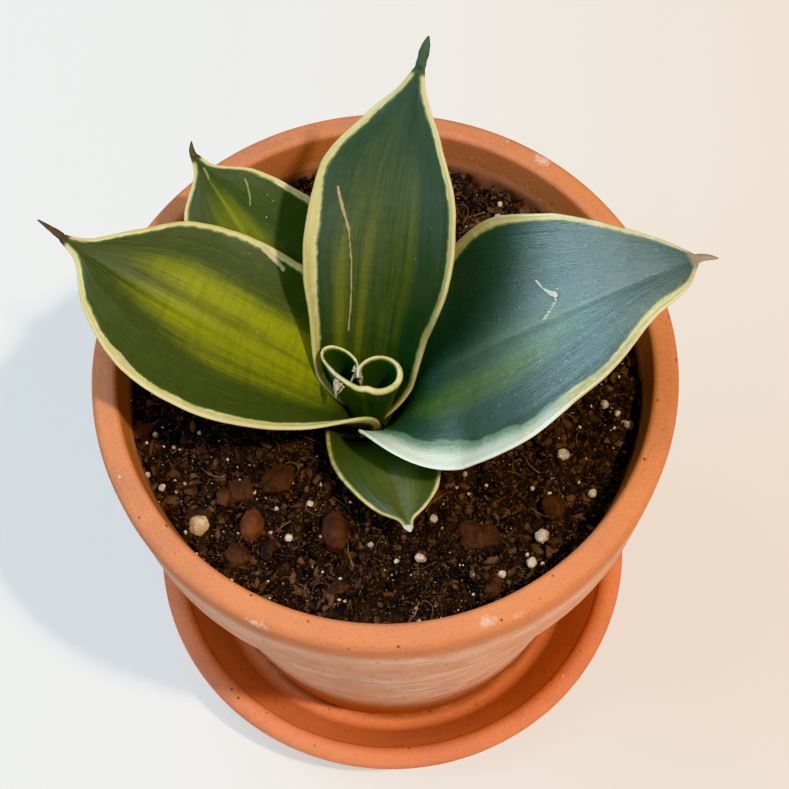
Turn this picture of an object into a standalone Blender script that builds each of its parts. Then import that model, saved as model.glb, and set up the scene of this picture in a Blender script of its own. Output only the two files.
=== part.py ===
"""Potted snake plant: a bird's-nest rosette in a clay pot that stands on its clay saucer.

Metres, +Z up. The origin is on the pot's axis, at the saucer's underside. The plant leans
a little to the left of that axis. The front of the pot faces -Y.
"""

import math
import random

import bmesh
import bpy
from mathutils import Matrix, Vector

MM = 0.001
TAU = 2.0 * math.pi

# ---- driving dimensions -------------------------------------------------------------------

GAP = 0.35 * MM                      # air left between pieces that touch

RIM_RADIUS = 77.5 * MM               # widest ring of the pot
RIM_TOP = 157.4 * MM                 # height of the rim over the ground
RIM_WIDE = RIM_TOP - 4.4 * MM        # height of the widest ring
COLLAR_LOW = RIM_WIDE - 32.5 * MM    # lower edge of the collar
COLLAR_LOW_RADIUS = 74.2 * MM
BODY_TOP_RADIUS = 69.4 * MM          # body just under the collar
FOOT_RADIUS = 50.5 * MM
MOUTH_RADIUS = 70.4 * MM             # inside edge of the rim
WELL_RADIUS = 44.5 * MM              # inside of the pot at its floor
POT_FLOOR = 8.0 * MM                 # thickness of the pot's floor
DRAIN_RADIUS = 8.0 * MM

SAUCER_RADIUS = 71.4 * MM
SAUCER_TOP = 24.6 * MM
SAUCER_LIP = 6.6 * MM                # width of the saucer's lip
SAUCER_FLOOR = 6.2 * MM
SAUCER_WELL_RADIUS = 56.0 * MM
SAUCER_FOOT_RADIUS = 59.0 * MM

SOIL_TOP = RIM_TOP - 14.0 * MM
SOIL_RIPPLE = 1.3 * MM
SOIL_EDGE_DROP = 1.5 * MM            # the soil's top rounds down to the wall

CROWN_X = -4.5 * MM                  # where the plant stands in the pot
CROWN_Y = -4.0 * MM
CROWN_TOP = 140.7 * MM
CROWN_RADIUS = 13.6 * MM
CROWN_HEIGHT = 6.0 * MM
HOLLOW_RADIUS = 17.0 * MM            # flat bottom of the dip the crown stands in
HOLLOW_RIM = 27.0 * MM               # where that dip runs out

LEAF_FOOT = CROWN_TOP + GAP
LEAF_MIDDLE = (1.8, 2.1, 2.2, 1.9, 1.4)   # midrib's thickness in millimetres, at LIFT_AT
LEAF_EDGE = 0.55                     # thickness at the margin, as a share of the midrib's
LEAF_ROWS = 26
LEAF_COLUMNS = (-1.0, -0.75, -0.5, -0.25, 0.0, 0.25, 0.5, 0.75, 1.0)

ROLL_HEIGHT = 24.0 * MM              # the young rolled leaf, over its foot
ROLL_RADIUS = 4.9 * MM
ROLL_WALL_LOW = 0.8 * MM
ROLL_WALL_TOP = 1.5 * MM
ROLL_FOOT_SCALE = 0.26               # size of its plan at the foot, against the rim's

TURNED_STEPS = 56                    # facets round the pot and the saucer

# Places along a leaf, as shares of its length, where its values below are given.
LIFT_AT = (0.0, 0.12, 0.35, 0.7, 1.0)
WIDTH_AT = (0.0, 0.12, 0.3, 0.5, 0.7, 0.85, 0.95, 1.0)

# Each leaf, in millimetres and degrees. Seen along the leaf from its foot, left and right
# are its half-widths. reach is how far its foot stands from the crown's middle, heading
# the compass angle of the midrib from +X, sweep how much that turns along the leaf, lift
# its climb, lean the roll about the midrib (a steady part and one that grows), curl how
# fast the blade cups across its width, per millimetre, and spine its dry point: length,
# heading and climb.
LEAVES = {
    "leaf_centre": {
        "reach": 5.0, "heading": 75, "sweep": -6, "length": 104.2,
        "lift": (90, 65, 71, 56, 46), "lean": (-15, 0), "curl": (11.5, 4.1, 3.0, 1.6, 1.0),
        "left": (7, 10.5, 17.5, 21.5, 19.5, 11, 3.5, 1.2),
        "right": (12, 13.5, 16.5, 22.5, 18.5, 9.5, 2.5, 1.2),
        "spine": (7.5, 63, 40),
    },
    "leaf_left": {
        "reach": 7.4, "heading": 173, "sweep": -25, "length": 93.8,
        "lift": (90, 48, 38, 27, 26), "lean": (18, -16), "curl": (7.7, 4.5, 1.5, 0.7, 1.2),
        "left": (13, 22, 24.5, 28, 24, 14, 2.5, 1.2),
        "right": (11, 17, 26, 26.5, 22.5, 11.5, 3, 1.2),
        "spine": (7.7, 146, 15),
    },
    "leaf_right": {
        "reach": 9.7, "heading": -7, "sweep": 27, "length": 102.7,
        "lift": (90, 59, 50, 25, 0), "lean": (-1, 0), "curl": (5.9, 3.7, 0.7, 1.1, 1.4),
        "left": (15, 22, 27.5, 31, 25, 15, 7, 1.2),
        "right": (17, 26.5, 30.5, 32.5, 23.5, 11, 6.5, 1.2),
        "spine": (5.5, -10, 0),
    },
    "leaf_back_left": {
        "reach": 12.2, "heading": 133, "sweep": -7, "length": 75.0,
        "lift": (90, 57, 40, 35, 35), "lean": (-6, -5), "curl": (4.7, 3.0, 1.5, 1.1, 1.2),
        "left": (12, 15, 19, 22.5, 17, 10.5, 2.5, 1.2),
        "right": (12, 15, 19, 22.5, 17.5, 11, 2.5, 1.2),
        "spine": (4.3, 86, 45),
    },
    "leaf_front": {
        "reach": 12.2, "heading": 280, "sweep": 5, "length": 36.9,
        "lift": (90, 56, 28, 17, 15), "lean": (-9, -5), "curl": (4.7, 3.5, 1.8, 1.5, 1.5),
        "left": (8, 12, 14.5, 13.5, 11, 6, 1.5, 1),
        "right": (8, 15, 14.5, 13.5, 10, 6, 1.5, 1),
        "spine": (1.5, 287, 10),
    },
}

# Stones and bark lying in the soil, in millimetres: place, half-sizes and turn in degrees.
LUMPS = {
    "pebble_cream": {"at": (-50.4, -37.1), "half": (2.8, 2.8, 2.3), "turn": 20},
    "stone_red_brown": {"at": (-36.5, -37.8), "half": (3.1, 4.8, 2.6), "turn": -12},
    "stone_brown": {"at": (-14.8, -40.7), "half": (3.6, 5.6, 3.4), "turn": 4},
    "bark_chip_01": {"at": (-39.2, -28.1), "half": (3.6, 4.9, 1.9), "turn": 10},
    "bark_chip_02": {"at": (-29.7, -25.7), "half": (3.9, 5.0, 2.0), "turn": -30},
    "bark_chip_03": {"at": (-40.5, -46.0), "half": (3.9, 3.4, 1.7), "turn": 35},
    "bark_chip_04": {"at": (-14.1, -56.0), "half": (3.5, 2.2, 1.4), "turn": 8},
    "bark_chip_05": {"at": (22.9, -43.6), "half": (6.2, 4.9, 2.0), "turn": -18},
    "bark_chip_06": {"at": (42.4, -36.0), "half": (2.8, 4.2, 1.8), "turn": 14},
}

# Larger grains of perlite lying on the soil: place and radius in millimetres.
PERLITE = (
    (46, -22, 2.0), (39, -44.5, 2.2), (36, -51.5, 1.7), (11, -38, 1.4), (7, -49, 1.6),
    (28, -54.5, 1.3), (53, -33, 1.4), (58, -8, 1.4), (64, -14, 1.7), (-21, -33, 1.2),
    (-27, -42, 1.3), (-60, -26, 1.2), (20, 54, 1.5), (33, 49, 1.4),
)

TERRACOTTA = (0.60, 0.25, 0.14)
TERRACOTTA_SAUCER = (0.62, 0.24, 0.12)
SOIL = (0.045, 0.025, 0.016)
RHIZOME = (0.36, 0.25, 0.13)
LEAF_GREEN = (0.10, 0.20, 0.06)
YOUNG_LEAF = (0.18, 0.26, 0.08)
CREAM_STONE = (0.62, 0.52, 0.38)
RED_STONE = (0.24, 0.09, 0.055)
BARK = (0.14, 0.055, 0.032)
PERLITE_WHITE = (0.78, 0.73, 0.64)


# ---- helpers ------------------------------------------------------------------------------

def clear_scene():
    for item in list(bpy.data.objects):
        bpy.data.objects.remove(item, do_unlink=True)


def material(name, colour, roughness):
    surface = bpy.data.materials.get(name) or bpy.data.materials.new(name)
    surface.use_nodes = True
    shader = surface.node_tree.nodes["Principled BSDF"]
    shader.inputs["Base Color"].default_value = (*colour, 1.0)
    shader.inputs["Roughness"].default_value = roughness
    shader.inputs["Metallic"].default_value = 0.0
    return surface


def solid(name, points, faces, surface, crease_degrees=40):
    """One closed, smooth-shaded object from points and faces."""
    shape = bmesh.new()
    corners = [shape.verts.new(point) for point in points]
    for face in faces:
        shape.faces.new([corners[index] for index in face])
    bmesh.ops.recalc_face_normals(shape, faces=shape.faces)
    mesh = bpy.data.meshes.new(name)
    shape.to_mesh(mesh)
    shape.free()
    mesh.materials.append(surface)
    mesh.shade_smooth()
    mesh.set_sharp_from_angle(angle=math.radians(crease_degrees))
    item = bpy.data.objects.new(name, mesh)
    bpy.context.collection.objects.link(item)
    return item


def grid_faces(rows, columns, closed=False, first=0):
    """Quads over rows of points; closed joins each row's end to its start."""
    faces = []
    steps = columns if closed else columns - 1
    for row in range(rows - 1):
        for column in range(steps):
            beside = (column + 1) % columns
            low = first + row * columns
            high = low + columns
            faces.append((low + column, low + beside, high + beside, high + column))
    return faces


def arc(centre_x, centre_z, radius, start, end, steps):
    """Points on a circle in the profile plane, angles in degrees."""
    points = []
    for step in range(steps + 1):
        angle = math.radians(start + (end - start) * step / steps)
        points.append((centre_x + radius * math.cos(angle), centre_z + radius * math.sin(angle)))
    return points


def turned(name, profile, surface, steps=TURNED_STEPS):
    """A closed profile of (radius, height) turned round Z; radius 0 makes a pole."""
    points = []
    rings = []
    for radius, height in profile:
        if radius < MM * 0.01:
            rings.append([len(points)])
            points.append((0.0, 0.0, height))
            continue
        ring = []
        for step in range(steps):
            angle = TAU * step / steps
            ring.append(len(points))
            points.append((radius * math.cos(angle), radius * math.sin(angle), height))
        rings.append(ring)
    faces = []
    for index, ring in enumerate(rings):
        following = rings[(index + 1) % len(rings)]
        if len(ring) == 1 and len(following) == 1:
            continue
        for step in range(steps):
            beside = (step + 1) % steps
            corners = [ring[step % len(ring)], ring[beside % len(ring)],
                       following[beside % len(following)], following[step % len(following)]]
            faces.append(tuple(dict.fromkeys(corners)))
    return solid(name, points, faces, surface)


def cut(item, cutter):
    """Take the cutter's volume out of an object and drop the cutter."""
    modifier = item.modifiers.new("cut", "BOOLEAN")
    modifier.operation = "DIFFERENCE"
    modifier.solver = "EXACT"
    modifier.object = cutter
    bpy.context.view_layer.update()
    graph = bpy.context.evaluated_depsgraph_get()
    result = bpy.data.meshes.new_from_object(item.evaluated_get(graph))
    item.modifiers.clear()
    item.data = result
    bpy.data.objects.remove(cutter, do_unlink=True)


def smooth_value(place, places, values):
    """A monotone cubic through values given at places."""
    last = len(places) - 1
    spans = [places[i + 1] - places[i] for i in range(last)]
    slopes = [(values[i + 1] - values[i]) / spans[i] for i in range(last)]
    tangents = [slopes[0]]
    for before, after in zip(slopes, slopes[1:]):
        tangents.append(2.0 * before * after / (before + after) if before * after > 0 else 0.0)
    tangents.append(slopes[-1])
    index = 0
    while index < last - 1 and place > places[index + 1]:
        index += 1
    t = (place - places[index]) / spans[index]
    rise = spans[index]
    return ((2 * t**3 - 3 * t**2 + 1) * values[index]
            + (t**3 - 2 * t**2 + t) * rise * tangents[index]
            + (3 * t**2 - 2 * t**3) * values[index + 1]
            + (t**3 - t**2) * rise * tangents[index + 1])


# ---- pot and saucer -----------------------------------------------------------------------

def pot_profile():
    """Outer side from the rim down, then under the floor and up the inside."""
    lip = 3.0 * MM
    edge = 1.2 * MM
    heel = 1.5 * MM
    foot_height = SAUCER_FLOOR + GAP
    rim = arc(RIM_RADIUS - lip, RIM_WIDE + 0.4 * MM, lip, 0, 78, 4)
    profile = [(MOUTH_RADIUS + edge, RIM_TOP)]
    profile += [(r, min(z, RIM_TOP)) for r, z in reversed(rim)]
    profile += arc(COLLAR_LOW_RADIUS - edge, COLLAR_LOW + edge, edge, 0, -90, 3)
    profile += [(BODY_TOP_RADIUS + edge, COLLAR_LOW), (BODY_TOP_RADIUS, COLLAR_LOW - edge)]
    profile += arc(FOOT_RADIUS - heel, foot_height + heel, heel, -5, -90, 3)
    profile += [(DRAIN_RADIUS, foot_height), (DRAIN_RADIUS, foot_height + POT_FLOOR)]
    profile += [(WELL_RADIUS - heel, foot_height + POT_FLOOR)]
    profile += [(WELL_RADIUS, foot_height + POT_FLOOR + heel)]
    profile += [(MOUTH_RADIUS, RIM_TOP - edge)]
    return profile


def inside_radius(height):
    """Radius of the pot's inner wall at a height."""
    low = SAUCER_FLOOR + GAP + POT_FLOOR
    share = (height - low) / (RIM_TOP - low)
    return WELL_RADIUS + (MOUTH_RADIUS - WELL_RADIUS) * share


def saucer_profile():
    """Outer side from the lip down, the foot, and back up the inside."""
    lip = SAUCER_LIP / 2
    heel = 2.5 * MM
    profile = arc(SAUCER_RADIUS - lip, SAUCER_TOP - lip, lip, 170, -10, 7)
    profile += arc(SAUCER_FOOT_RADIUS - heel, heel, heel, -10, -90, 3)
    profile += [(0.0, 0.0), (0.0, SAUCER_FLOOR)]
    profile += [(SAUCER_WELL_RADIUS - heel, SAUCER_FLOOR)]
    profile += [(SAUCER_WELL_RADIUS, SAUCER_FLOOR + heel * 0.6)]
    return profile


def build_pot():
    return turned("pot", pot_profile(), material("terracotta", TERRACOTTA, 0.85))


def build_saucer():
    surface = material("terracotta_saucer", TERRACOTTA_SAUCER, 0.8)
    return turned("saucer", saucer_profile(), surface)


# ---- soil ---------------------------------------------------------------------------------

def soil_height(x, y):
    """Top of the soil: gentle ripples, with a flat dip round the crown."""
    ripple = math.sin(x * 105 + 0.6) * math.cos(y * 88 - 0.4)
    ripple += 0.6 * math.sin(x * 190 - y * 150 + 1.1)
    level = SOIL_TOP + SOIL_RIPPLE * 0.5 * ripple
    reach = math.hypot(x - CROWN_X, y - CROWN_Y)
    if reach >= HOLLOW_RIM:
        return level
    share = max(0.0, (reach - HOLLOW_RADIUS) / (HOLLOW_RIM - HOLLOW_RADIUS))
    blend = share * share * (3 - 2 * share)
    bottom = CROWN_TOP - 0.1 * MM
    return bottom + (level - bottom) * blend


def build_soil():
    """Fills the pot under a rippled top; the crown and the lumps are let into it."""
    surface = material("soil", SOIL, 0.95)
    steps = 44
    shares = (0.97, 0.86, 0.74, 0.62, 0.5, 0.38, 0.26, 0.13)
    facet_sag = MOUTH_RADIUS * (1.0 - math.cos(math.pi / TURNED_STEPS))
    wall = inside_radius(SOIL_TOP - SOIL_EDGE_DROP - SOIL_RIPPLE) - GAP - facet_sag
    low = SAUCER_FLOOR + GAP + POT_FLOOR + GAP
    base_radius = WELL_RADIUS - 1.6 * MM
    points = [(0.0, 0.0, low)]
    for step in range(steps):
        angle = TAU * step / steps
        points.append((base_radius * math.cos(angle), base_radius * math.sin(angle), low))
    for share in (1.0, *shares):
        for step in range(steps):
            angle = TAU * step / steps
            x = wall * share * math.cos(angle)
            y = wall * share * math.sin(angle)
            drop = SOIL_EDGE_DROP if share == 1.0 else 0.0
            points.append((x, y, soil_height(x, y) - drop))
    points.append((0.0, 0.0, soil_height(0.0, 0.0)))
    rings = len(shares) + 2
    faces = grid_faces(rings, steps, closed=True, first=1)
    top = len(points) - 1
    last_ring = 1 + (rings - 1) * steps
    for step in range(steps):
        beside = (step + 1) % steps
        faces.append((0, 1 + beside, 1 + step))
        faces.append((top, last_ring + step, last_ring + beside))
    return solid("soil", points, faces, surface)


def crown_shape(name, radius, low, top, surface):
    """A short stub of rhizome, slightly domed at its edge."""
    bevel = 1.0 * MM
    profile = [(0.0, top), (radius - bevel, top), (radius, top - bevel), (radius, low), (0.0, low)]
    item = turned(name, profile, surface, steps=28)
    item.data.transform(Matrix.Translation((CROWN_X, CROWN_Y, 0.0)))
    return item


def build_crown(soil):
    surface = material("rhizome", RHIZOME, 0.8)
    low = CROWN_TOP - CROWN_HEIGHT
    cut(soil, crown_shape("crown_pit", CROWN_RADIUS + GAP, low - GAP, CROWN_TOP + MM, surface))
    return crown_shape("crown", CROWN_RADIUS, low, CROWN_TOP, surface)


# ---- leaves -------------------------------------------------------------------------------

def leaf_frames(leaf):
    """Along the midrib: point, direction, side and upper normal, for each row."""
    fine = 6
    steps = LEAF_ROWS * fine
    heading = math.radians(leaf["heading"])
    reach = leaf["reach"] * MM
    point = Vector((CROWN_X + reach * math.cos(heading), CROWN_Y + reach * math.sin(heading),
                    LEAF_FOOT))
    stride = leaf["length"] * MM / steps
    frames = []
    for step in range(steps + 1):
        share = step / steps
        turn = heading + math.radians(leaf["sweep"] * share)
        climb = math.radians(smooth_value(share, LIFT_AT, leaf["lift"]))
        along = Vector((math.cos(climb) * math.cos(turn), math.cos(climb) * math.sin(turn),
                        math.sin(climb)))
        above = Vector((-math.sin(climb) * math.cos(turn), -math.sin(climb) * math.sin(turn),
                        math.cos(climb)))
        lean = math.radians(leaf["lean"][0] * share + leaf["lean"][1] * share**2)
        side = along.cross(above)
        normal = above * math.cos(lean) + side * math.sin(lean)
        side = side * math.cos(lean) - above * math.sin(lean)
        if step % fine == 0:
            frames.append((share, point.copy(), along, side, normal))
        point += along * stride
    return frames


def cross_section(leaf, share, place):
    """Offset across and up from the midrib, and the tilt there; place runs -1 to 1."""
    half = leaf["left"] if place < 0 else leaf["right"]
    width = smooth_value(share, WIDTH_AT, half) * MM * abs(place)
    tilt = math.radians(smooth_value(share, LIFT_AT, leaf["curl"])) * width / MM
    if tilt < 1e-6:
        return 0.0, 0.0, 0.0
    bend = width / tilt
    sign = -1.0 if place < 0 else 1.0
    return sign * bend * math.sin(tilt), bend * (1.0 - math.cos(tilt)), sign * tilt


def leaf_thickness(share, place):
    middle = smooth_value(share, LIFT_AT, LEAF_MIDDLE) * MM
    return middle * (1.0 - (1.0 - LEAF_EDGE) * place * place)


def spine_rows(leaf, frame):
    """The dry point past the blade: rows that shrink and turn to the spine's direction."""
    length, heading, climb = leaf["spine"]
    _, point, along, side, normal = frame
    heading = math.radians(heading)
    climb = math.radians(climb)
    aim = Vector((math.cos(climb) * math.cos(heading), math.cos(climb) * math.sin(heading),
                  math.sin(climb)))
    rows = []
    count = 3
    for row in range(1, count + 1):
        share = row / count
        direction = along.lerp(aim, min(1.0, share * 1.5)).normalized()
        point = point + direction * (length * MM / count)
        across = (side - direction * side.dot(direction)).normalized()
        rows.append((point.copy(), across, across.cross(direction), 1.0 - 0.7 * share))
    return rows


def leaf_rows(leaf):
    """Upper and lower points of every row, foot to tip."""
    upper = []
    lower = []
    frames = leaf_frames(leaf)
    for share, point, along, side, normal in frames:
        top = []
        bottom = []
        for place in LEAF_COLUMNS:
            across, up, tilt = cross_section(leaf, share, place)
            middle = point + side * across + normal * up
            out = normal * math.cos(tilt) - side * math.sin(tilt)
            half = leaf_thickness(share, place) / 2
            top.append(middle + out * half)
            bottom.append(middle - out * half)
        upper.append(top)
        lower.append(bottom)
    tip_half = leaf["left"][-1] * MM
    thick = leaf_thickness(1.0, 0.0)
    for point, side, normal, size in spine_rows(leaf, frames[-1]):
        top = []
        bottom = []
        for place in LEAF_COLUMNS:
            middle = point + side * (tip_half * place * size)
            half = thick * size * (0.5 - 0.28 * place * place)
            top.append(middle + normal * half)
            bottom.append(middle - normal * half)
        upper.append(top)
        lower.append(bottom)
    return upper, lower


def build_leaf(name, leaf, surface):
    upper, lower = leaf_rows(leaf)
    loops = [top + bottom[::-1] for top, bottom in zip(upper, lower)]
    around = len(loops[0])
    points = [point for loop in loops for point in loop]
    faces = grid_faces(len(loops), around, closed=True)
    columns = len(LEAF_COLUMNS)
    for first in (0, (len(loops) - 1) * around):
        for column in range(columns - 1):
            faces.append((first + column, first + column + 1,
                          first + around - 2 - column, first + around - 1 - column))
    return solid(name, points, faces, surface)


def roll_plan():
    """Plan of the rolled leaf's rim about the crown's middle: a ring, then a flatter loop."""
    ring_x = 3.5 * MM
    ring_y = -1.6 * MM
    plan = []
    steps = 13
    for step in range(steps):
        angle = math.radians(150 - 275 * step / (steps - 1))
        plan.append((ring_x + ROLL_RADIUS * math.cos(angle), ring_y + ROLL_RADIUS * math.sin(angle)))
    loop = ((-2.4, -4.9), (-5.9, -2.6), (-9.1, 0.7), (-10.8, 3.4), (-10.7, 5.7), (-8.7, 6.6),
            (-5.9, 5.7), (-3.5, 3.6))
    plan += [(x * MM, y * MM) for x, y in loop]
    return plan


def roll_wall(share):
    """The rolled leaf's plan at a share of its height, narrow at the foot."""
    scale = ROLL_FOOT_SCALE + (1.0 - ROLL_FOOT_SCALE) * share**1.15
    sink = 0.6 * MM * (1.0 - scale)
    return [(CROWN_X + x * scale, CROWN_Y + y * scale + sink) for x, y in roll_plan()]


def offset_wall(wall, distance):
    """The same curve, moved sideways by a distance."""
    moved = []
    for index, (x, y) in enumerate(wall):
        before = wall[max(index - 1, 0)]
        after = wall[min(index + 1, len(wall) - 1)]
        run_x = after[0] - before[0]
        run_y = after[1] - before[1]
        length = math.hypot(run_x, run_y)
        moved.append((x - run_y / length * distance, y + run_x / length * distance))
    return moved


def build_rolled_leaf():
    """A young leaf still rolled up, open at the top and along the seam."""
    surface = material("young_leaf", YOUNG_LEAF, 0.5)
    rows = 7
    points = []
    for row in range(rows):
        share = row / (rows - 1)
        wall = roll_wall(share)
        half = (ROLL_WALL_LOW + (ROLL_WALL_TOP - ROLL_WALL_LOW) * share) / 2
        loop = offset_wall(wall, half) + offset_wall(wall, -half)[::-1]
        height = LEAF_FOOT + ROLL_HEIGHT * share
        points += [(x, y, height) for x, y in loop]
    around = 2 * len(roll_plan())
    faces = grid_faces(rows, around, closed=True)
    for first in (0, (rows - 1) * around):
        for column in range(around // 2 - 1):
            faces.append((first + column, first + column + 1,
                          first + around - 2 - column, first + around - 1 - column))
    return solid("leaf_rolled", points, faces, surface)


# ---- stones, bark and perlite -------------------------------------------------------------

def lump(name, middle, half, turn, grow, surface, detail, roughness, seed):
    """A rounded lump with flats; grow swells it evenly, for the bed it lies in."""
    shape = bmesh.new()
    bmesh.ops.create_icosphere(shape, subdivisions=detail, radius=1.0)
    chance = random.Random(seed)
    for corner in shape.verts:
        corner.co *= 1.0 - roughness * chance.random()
    size = Matrix.Diagonal((half[0] + grow, half[1] + grow, half[2] + grow, 1.0))
    place = Matrix.Translation(middle) @ Matrix.Rotation(math.radians(turn), 4, "Z") @ size
    bmesh.ops.transform(shape, matrix=place, verts=shape.verts)
    mesh = bpy.data.meshes.new(name)
    shape.to_mesh(mesh)
    shape.free()
    mesh.materials.append(surface)
    item = bpy.data.objects.new(name, mesh)
    bpy.context.collection.objects.link(item)
    return item


def bed_in(soil, name, at, half, turn, sunk, surface, detail, roughness, seed):
    """Place a lump with part of it under the soil, in a bed cut a little larger."""
    x, y = at
    middle = Vector((x, y, soil_height(x, y) + half[2] * (1.0 - 2.0 * sunk)))
    clearance = 2.2 * GAP
    bed = lump(name + "_bed", middle, half, turn, clearance, surface, detail, roughness, seed)
    cut(soil, bed)
    return lump(name, middle, half, turn, 0.0, surface, detail, roughness, seed)


def build_lumps(soil):
    colours = {"pebble": ("cream_stone", CREAM_STONE), "stone": ("brown_stone", RED_STONE),
               "bark": ("bark", BARK)}
    for seed, (name, spec) in enumerate(LUMPS.items()):
        slot, colour = colours[name.split("_")[0]]
        half = [value * MM for value in spec["half"]]
        at = [value * MM for value in spec["at"]]
        bed_in(soil, name, at, half, spec["turn"], 0.45, material(slot, colour, 0.85), 2, 0.14, seed)


def build_perlite(soil):
    surface = material("perlite", PERLITE_WHITE, 0.9)
    for index, (x, y, radius) in enumerate(PERLITE):
        half = (radius * MM, radius * 0.9 * MM, radius * 0.8 * MM)
        name = "perlite_{:02d}".format(index + 1)
        bed_in(soil, name, (x * MM, y * MM), half, 37 * index, 0.4, surface, 1, 0.1, 40 + index)


def main():
    clear_scene()
    build_saucer()
    build_pot()
    soil = build_soil()
    build_crown(soil)
    leaf_surface = material("leaf", LEAF_GREEN, 0.4)
    for name, leaf in LEAVES.items():
        build_leaf(name, leaf, leaf_surface)
    build_rolled_leaf()
    build_lumps(soil)
    build_perlite(soil)


main()
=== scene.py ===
"""Looks for the potted snake plant: fine shapes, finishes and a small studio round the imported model.

Metres, in the model's own frame: +Z up, the front of the pot faces -Y, the origin is under the
saucer. Sizes that belong to the object are the same driving dimensions as the model's, but some
leaf widths, the tips and the feet are redrawn here, by up to about 8 mm at the feet.
"""

import math
import random

import bmesh
import bpy
import numpy as np
from mathutils import Euler, Matrix, Vector, noise


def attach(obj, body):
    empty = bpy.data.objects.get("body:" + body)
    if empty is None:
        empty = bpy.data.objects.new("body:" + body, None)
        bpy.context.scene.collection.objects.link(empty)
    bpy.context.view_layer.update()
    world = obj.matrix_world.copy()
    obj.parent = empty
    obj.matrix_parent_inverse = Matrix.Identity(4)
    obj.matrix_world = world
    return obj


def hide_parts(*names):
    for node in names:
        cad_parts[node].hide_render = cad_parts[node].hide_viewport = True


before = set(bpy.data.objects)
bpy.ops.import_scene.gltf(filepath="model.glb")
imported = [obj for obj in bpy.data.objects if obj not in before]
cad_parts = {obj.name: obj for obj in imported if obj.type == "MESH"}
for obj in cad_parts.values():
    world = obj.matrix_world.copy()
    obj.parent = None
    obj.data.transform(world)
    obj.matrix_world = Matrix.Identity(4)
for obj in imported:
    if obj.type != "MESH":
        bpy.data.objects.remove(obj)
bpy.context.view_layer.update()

MM = 0.001
TAU = 2.0 * math.pi
BODY = "root"

# ---- the object's dimensions --------------------------------------------------------------

RIM_RADIUS = 77.5 * MM
RIM_TOP = 157.4 * MM
RIM_WIDE = 153.0 * MM
COLLAR_LOW = 120.5 * MM
COLLAR_LOW_RADIUS = 74.2 * MM
BODY_TOP_RADIUS = 69.4 * MM
FOOT_RADIUS = 50.5 * MM
MOUTH_RADIUS = 70.4 * MM
WELL_RADIUS = 44.5 * MM
POT_FOOT = 6.55 * MM                 # the pot's underside stands this high, in the saucer
POT_FLOOR = 8.0 * MM
DRAIN_RADIUS = 8.0 * MM

SAUCER_RADIUS = 71.4 * MM
SAUCER_TOP = 24.6 * MM
SAUCER_LIP = 6.6 * MM
SAUCER_FLOOR = 6.2 * MM
SAUCER_WELL_RADIUS = 56.0 * MM
SAUCER_FOOT_RADIUS = 59.0 * MM

SOIL_TOP = 143.4 * MM
SOIL_RIPPLE = 1.3 * MM
CROWN_X = -4.5 * MM
CROWN_Y = -4.0 * MM
CROWN_TOP = 140.7 * MM
LEAF_FOOT = CROWN_TOP + 0.35 * MM
HOLLOW_RADIUS = 13.0 * MM
HOLLOW_RIM = 24.0 * MM

LEAF_MIDDLE = (1.8, 2.1, 2.2, 1.9, 1.4)
LEAF_EDGE = 0.55
LEAF_ROWS = 156
ROLL_HEIGHT = 24.0 * MM
SKIN_SPAN = 26.0                     # the skin's pattern counts a half-width as this many mm
MARGIN_TILTS = (60, 30, 0, -30, -60)  # degrees round a leaf's edge, from its upper side down

LIFT_AT = (0.0, 0.12, 0.35, 0.7, 1.0)
WIDTH_AT = (0.0, 0.12, 0.3, 0.5, 0.7, 0.85, 0.95, 1.0)

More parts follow.
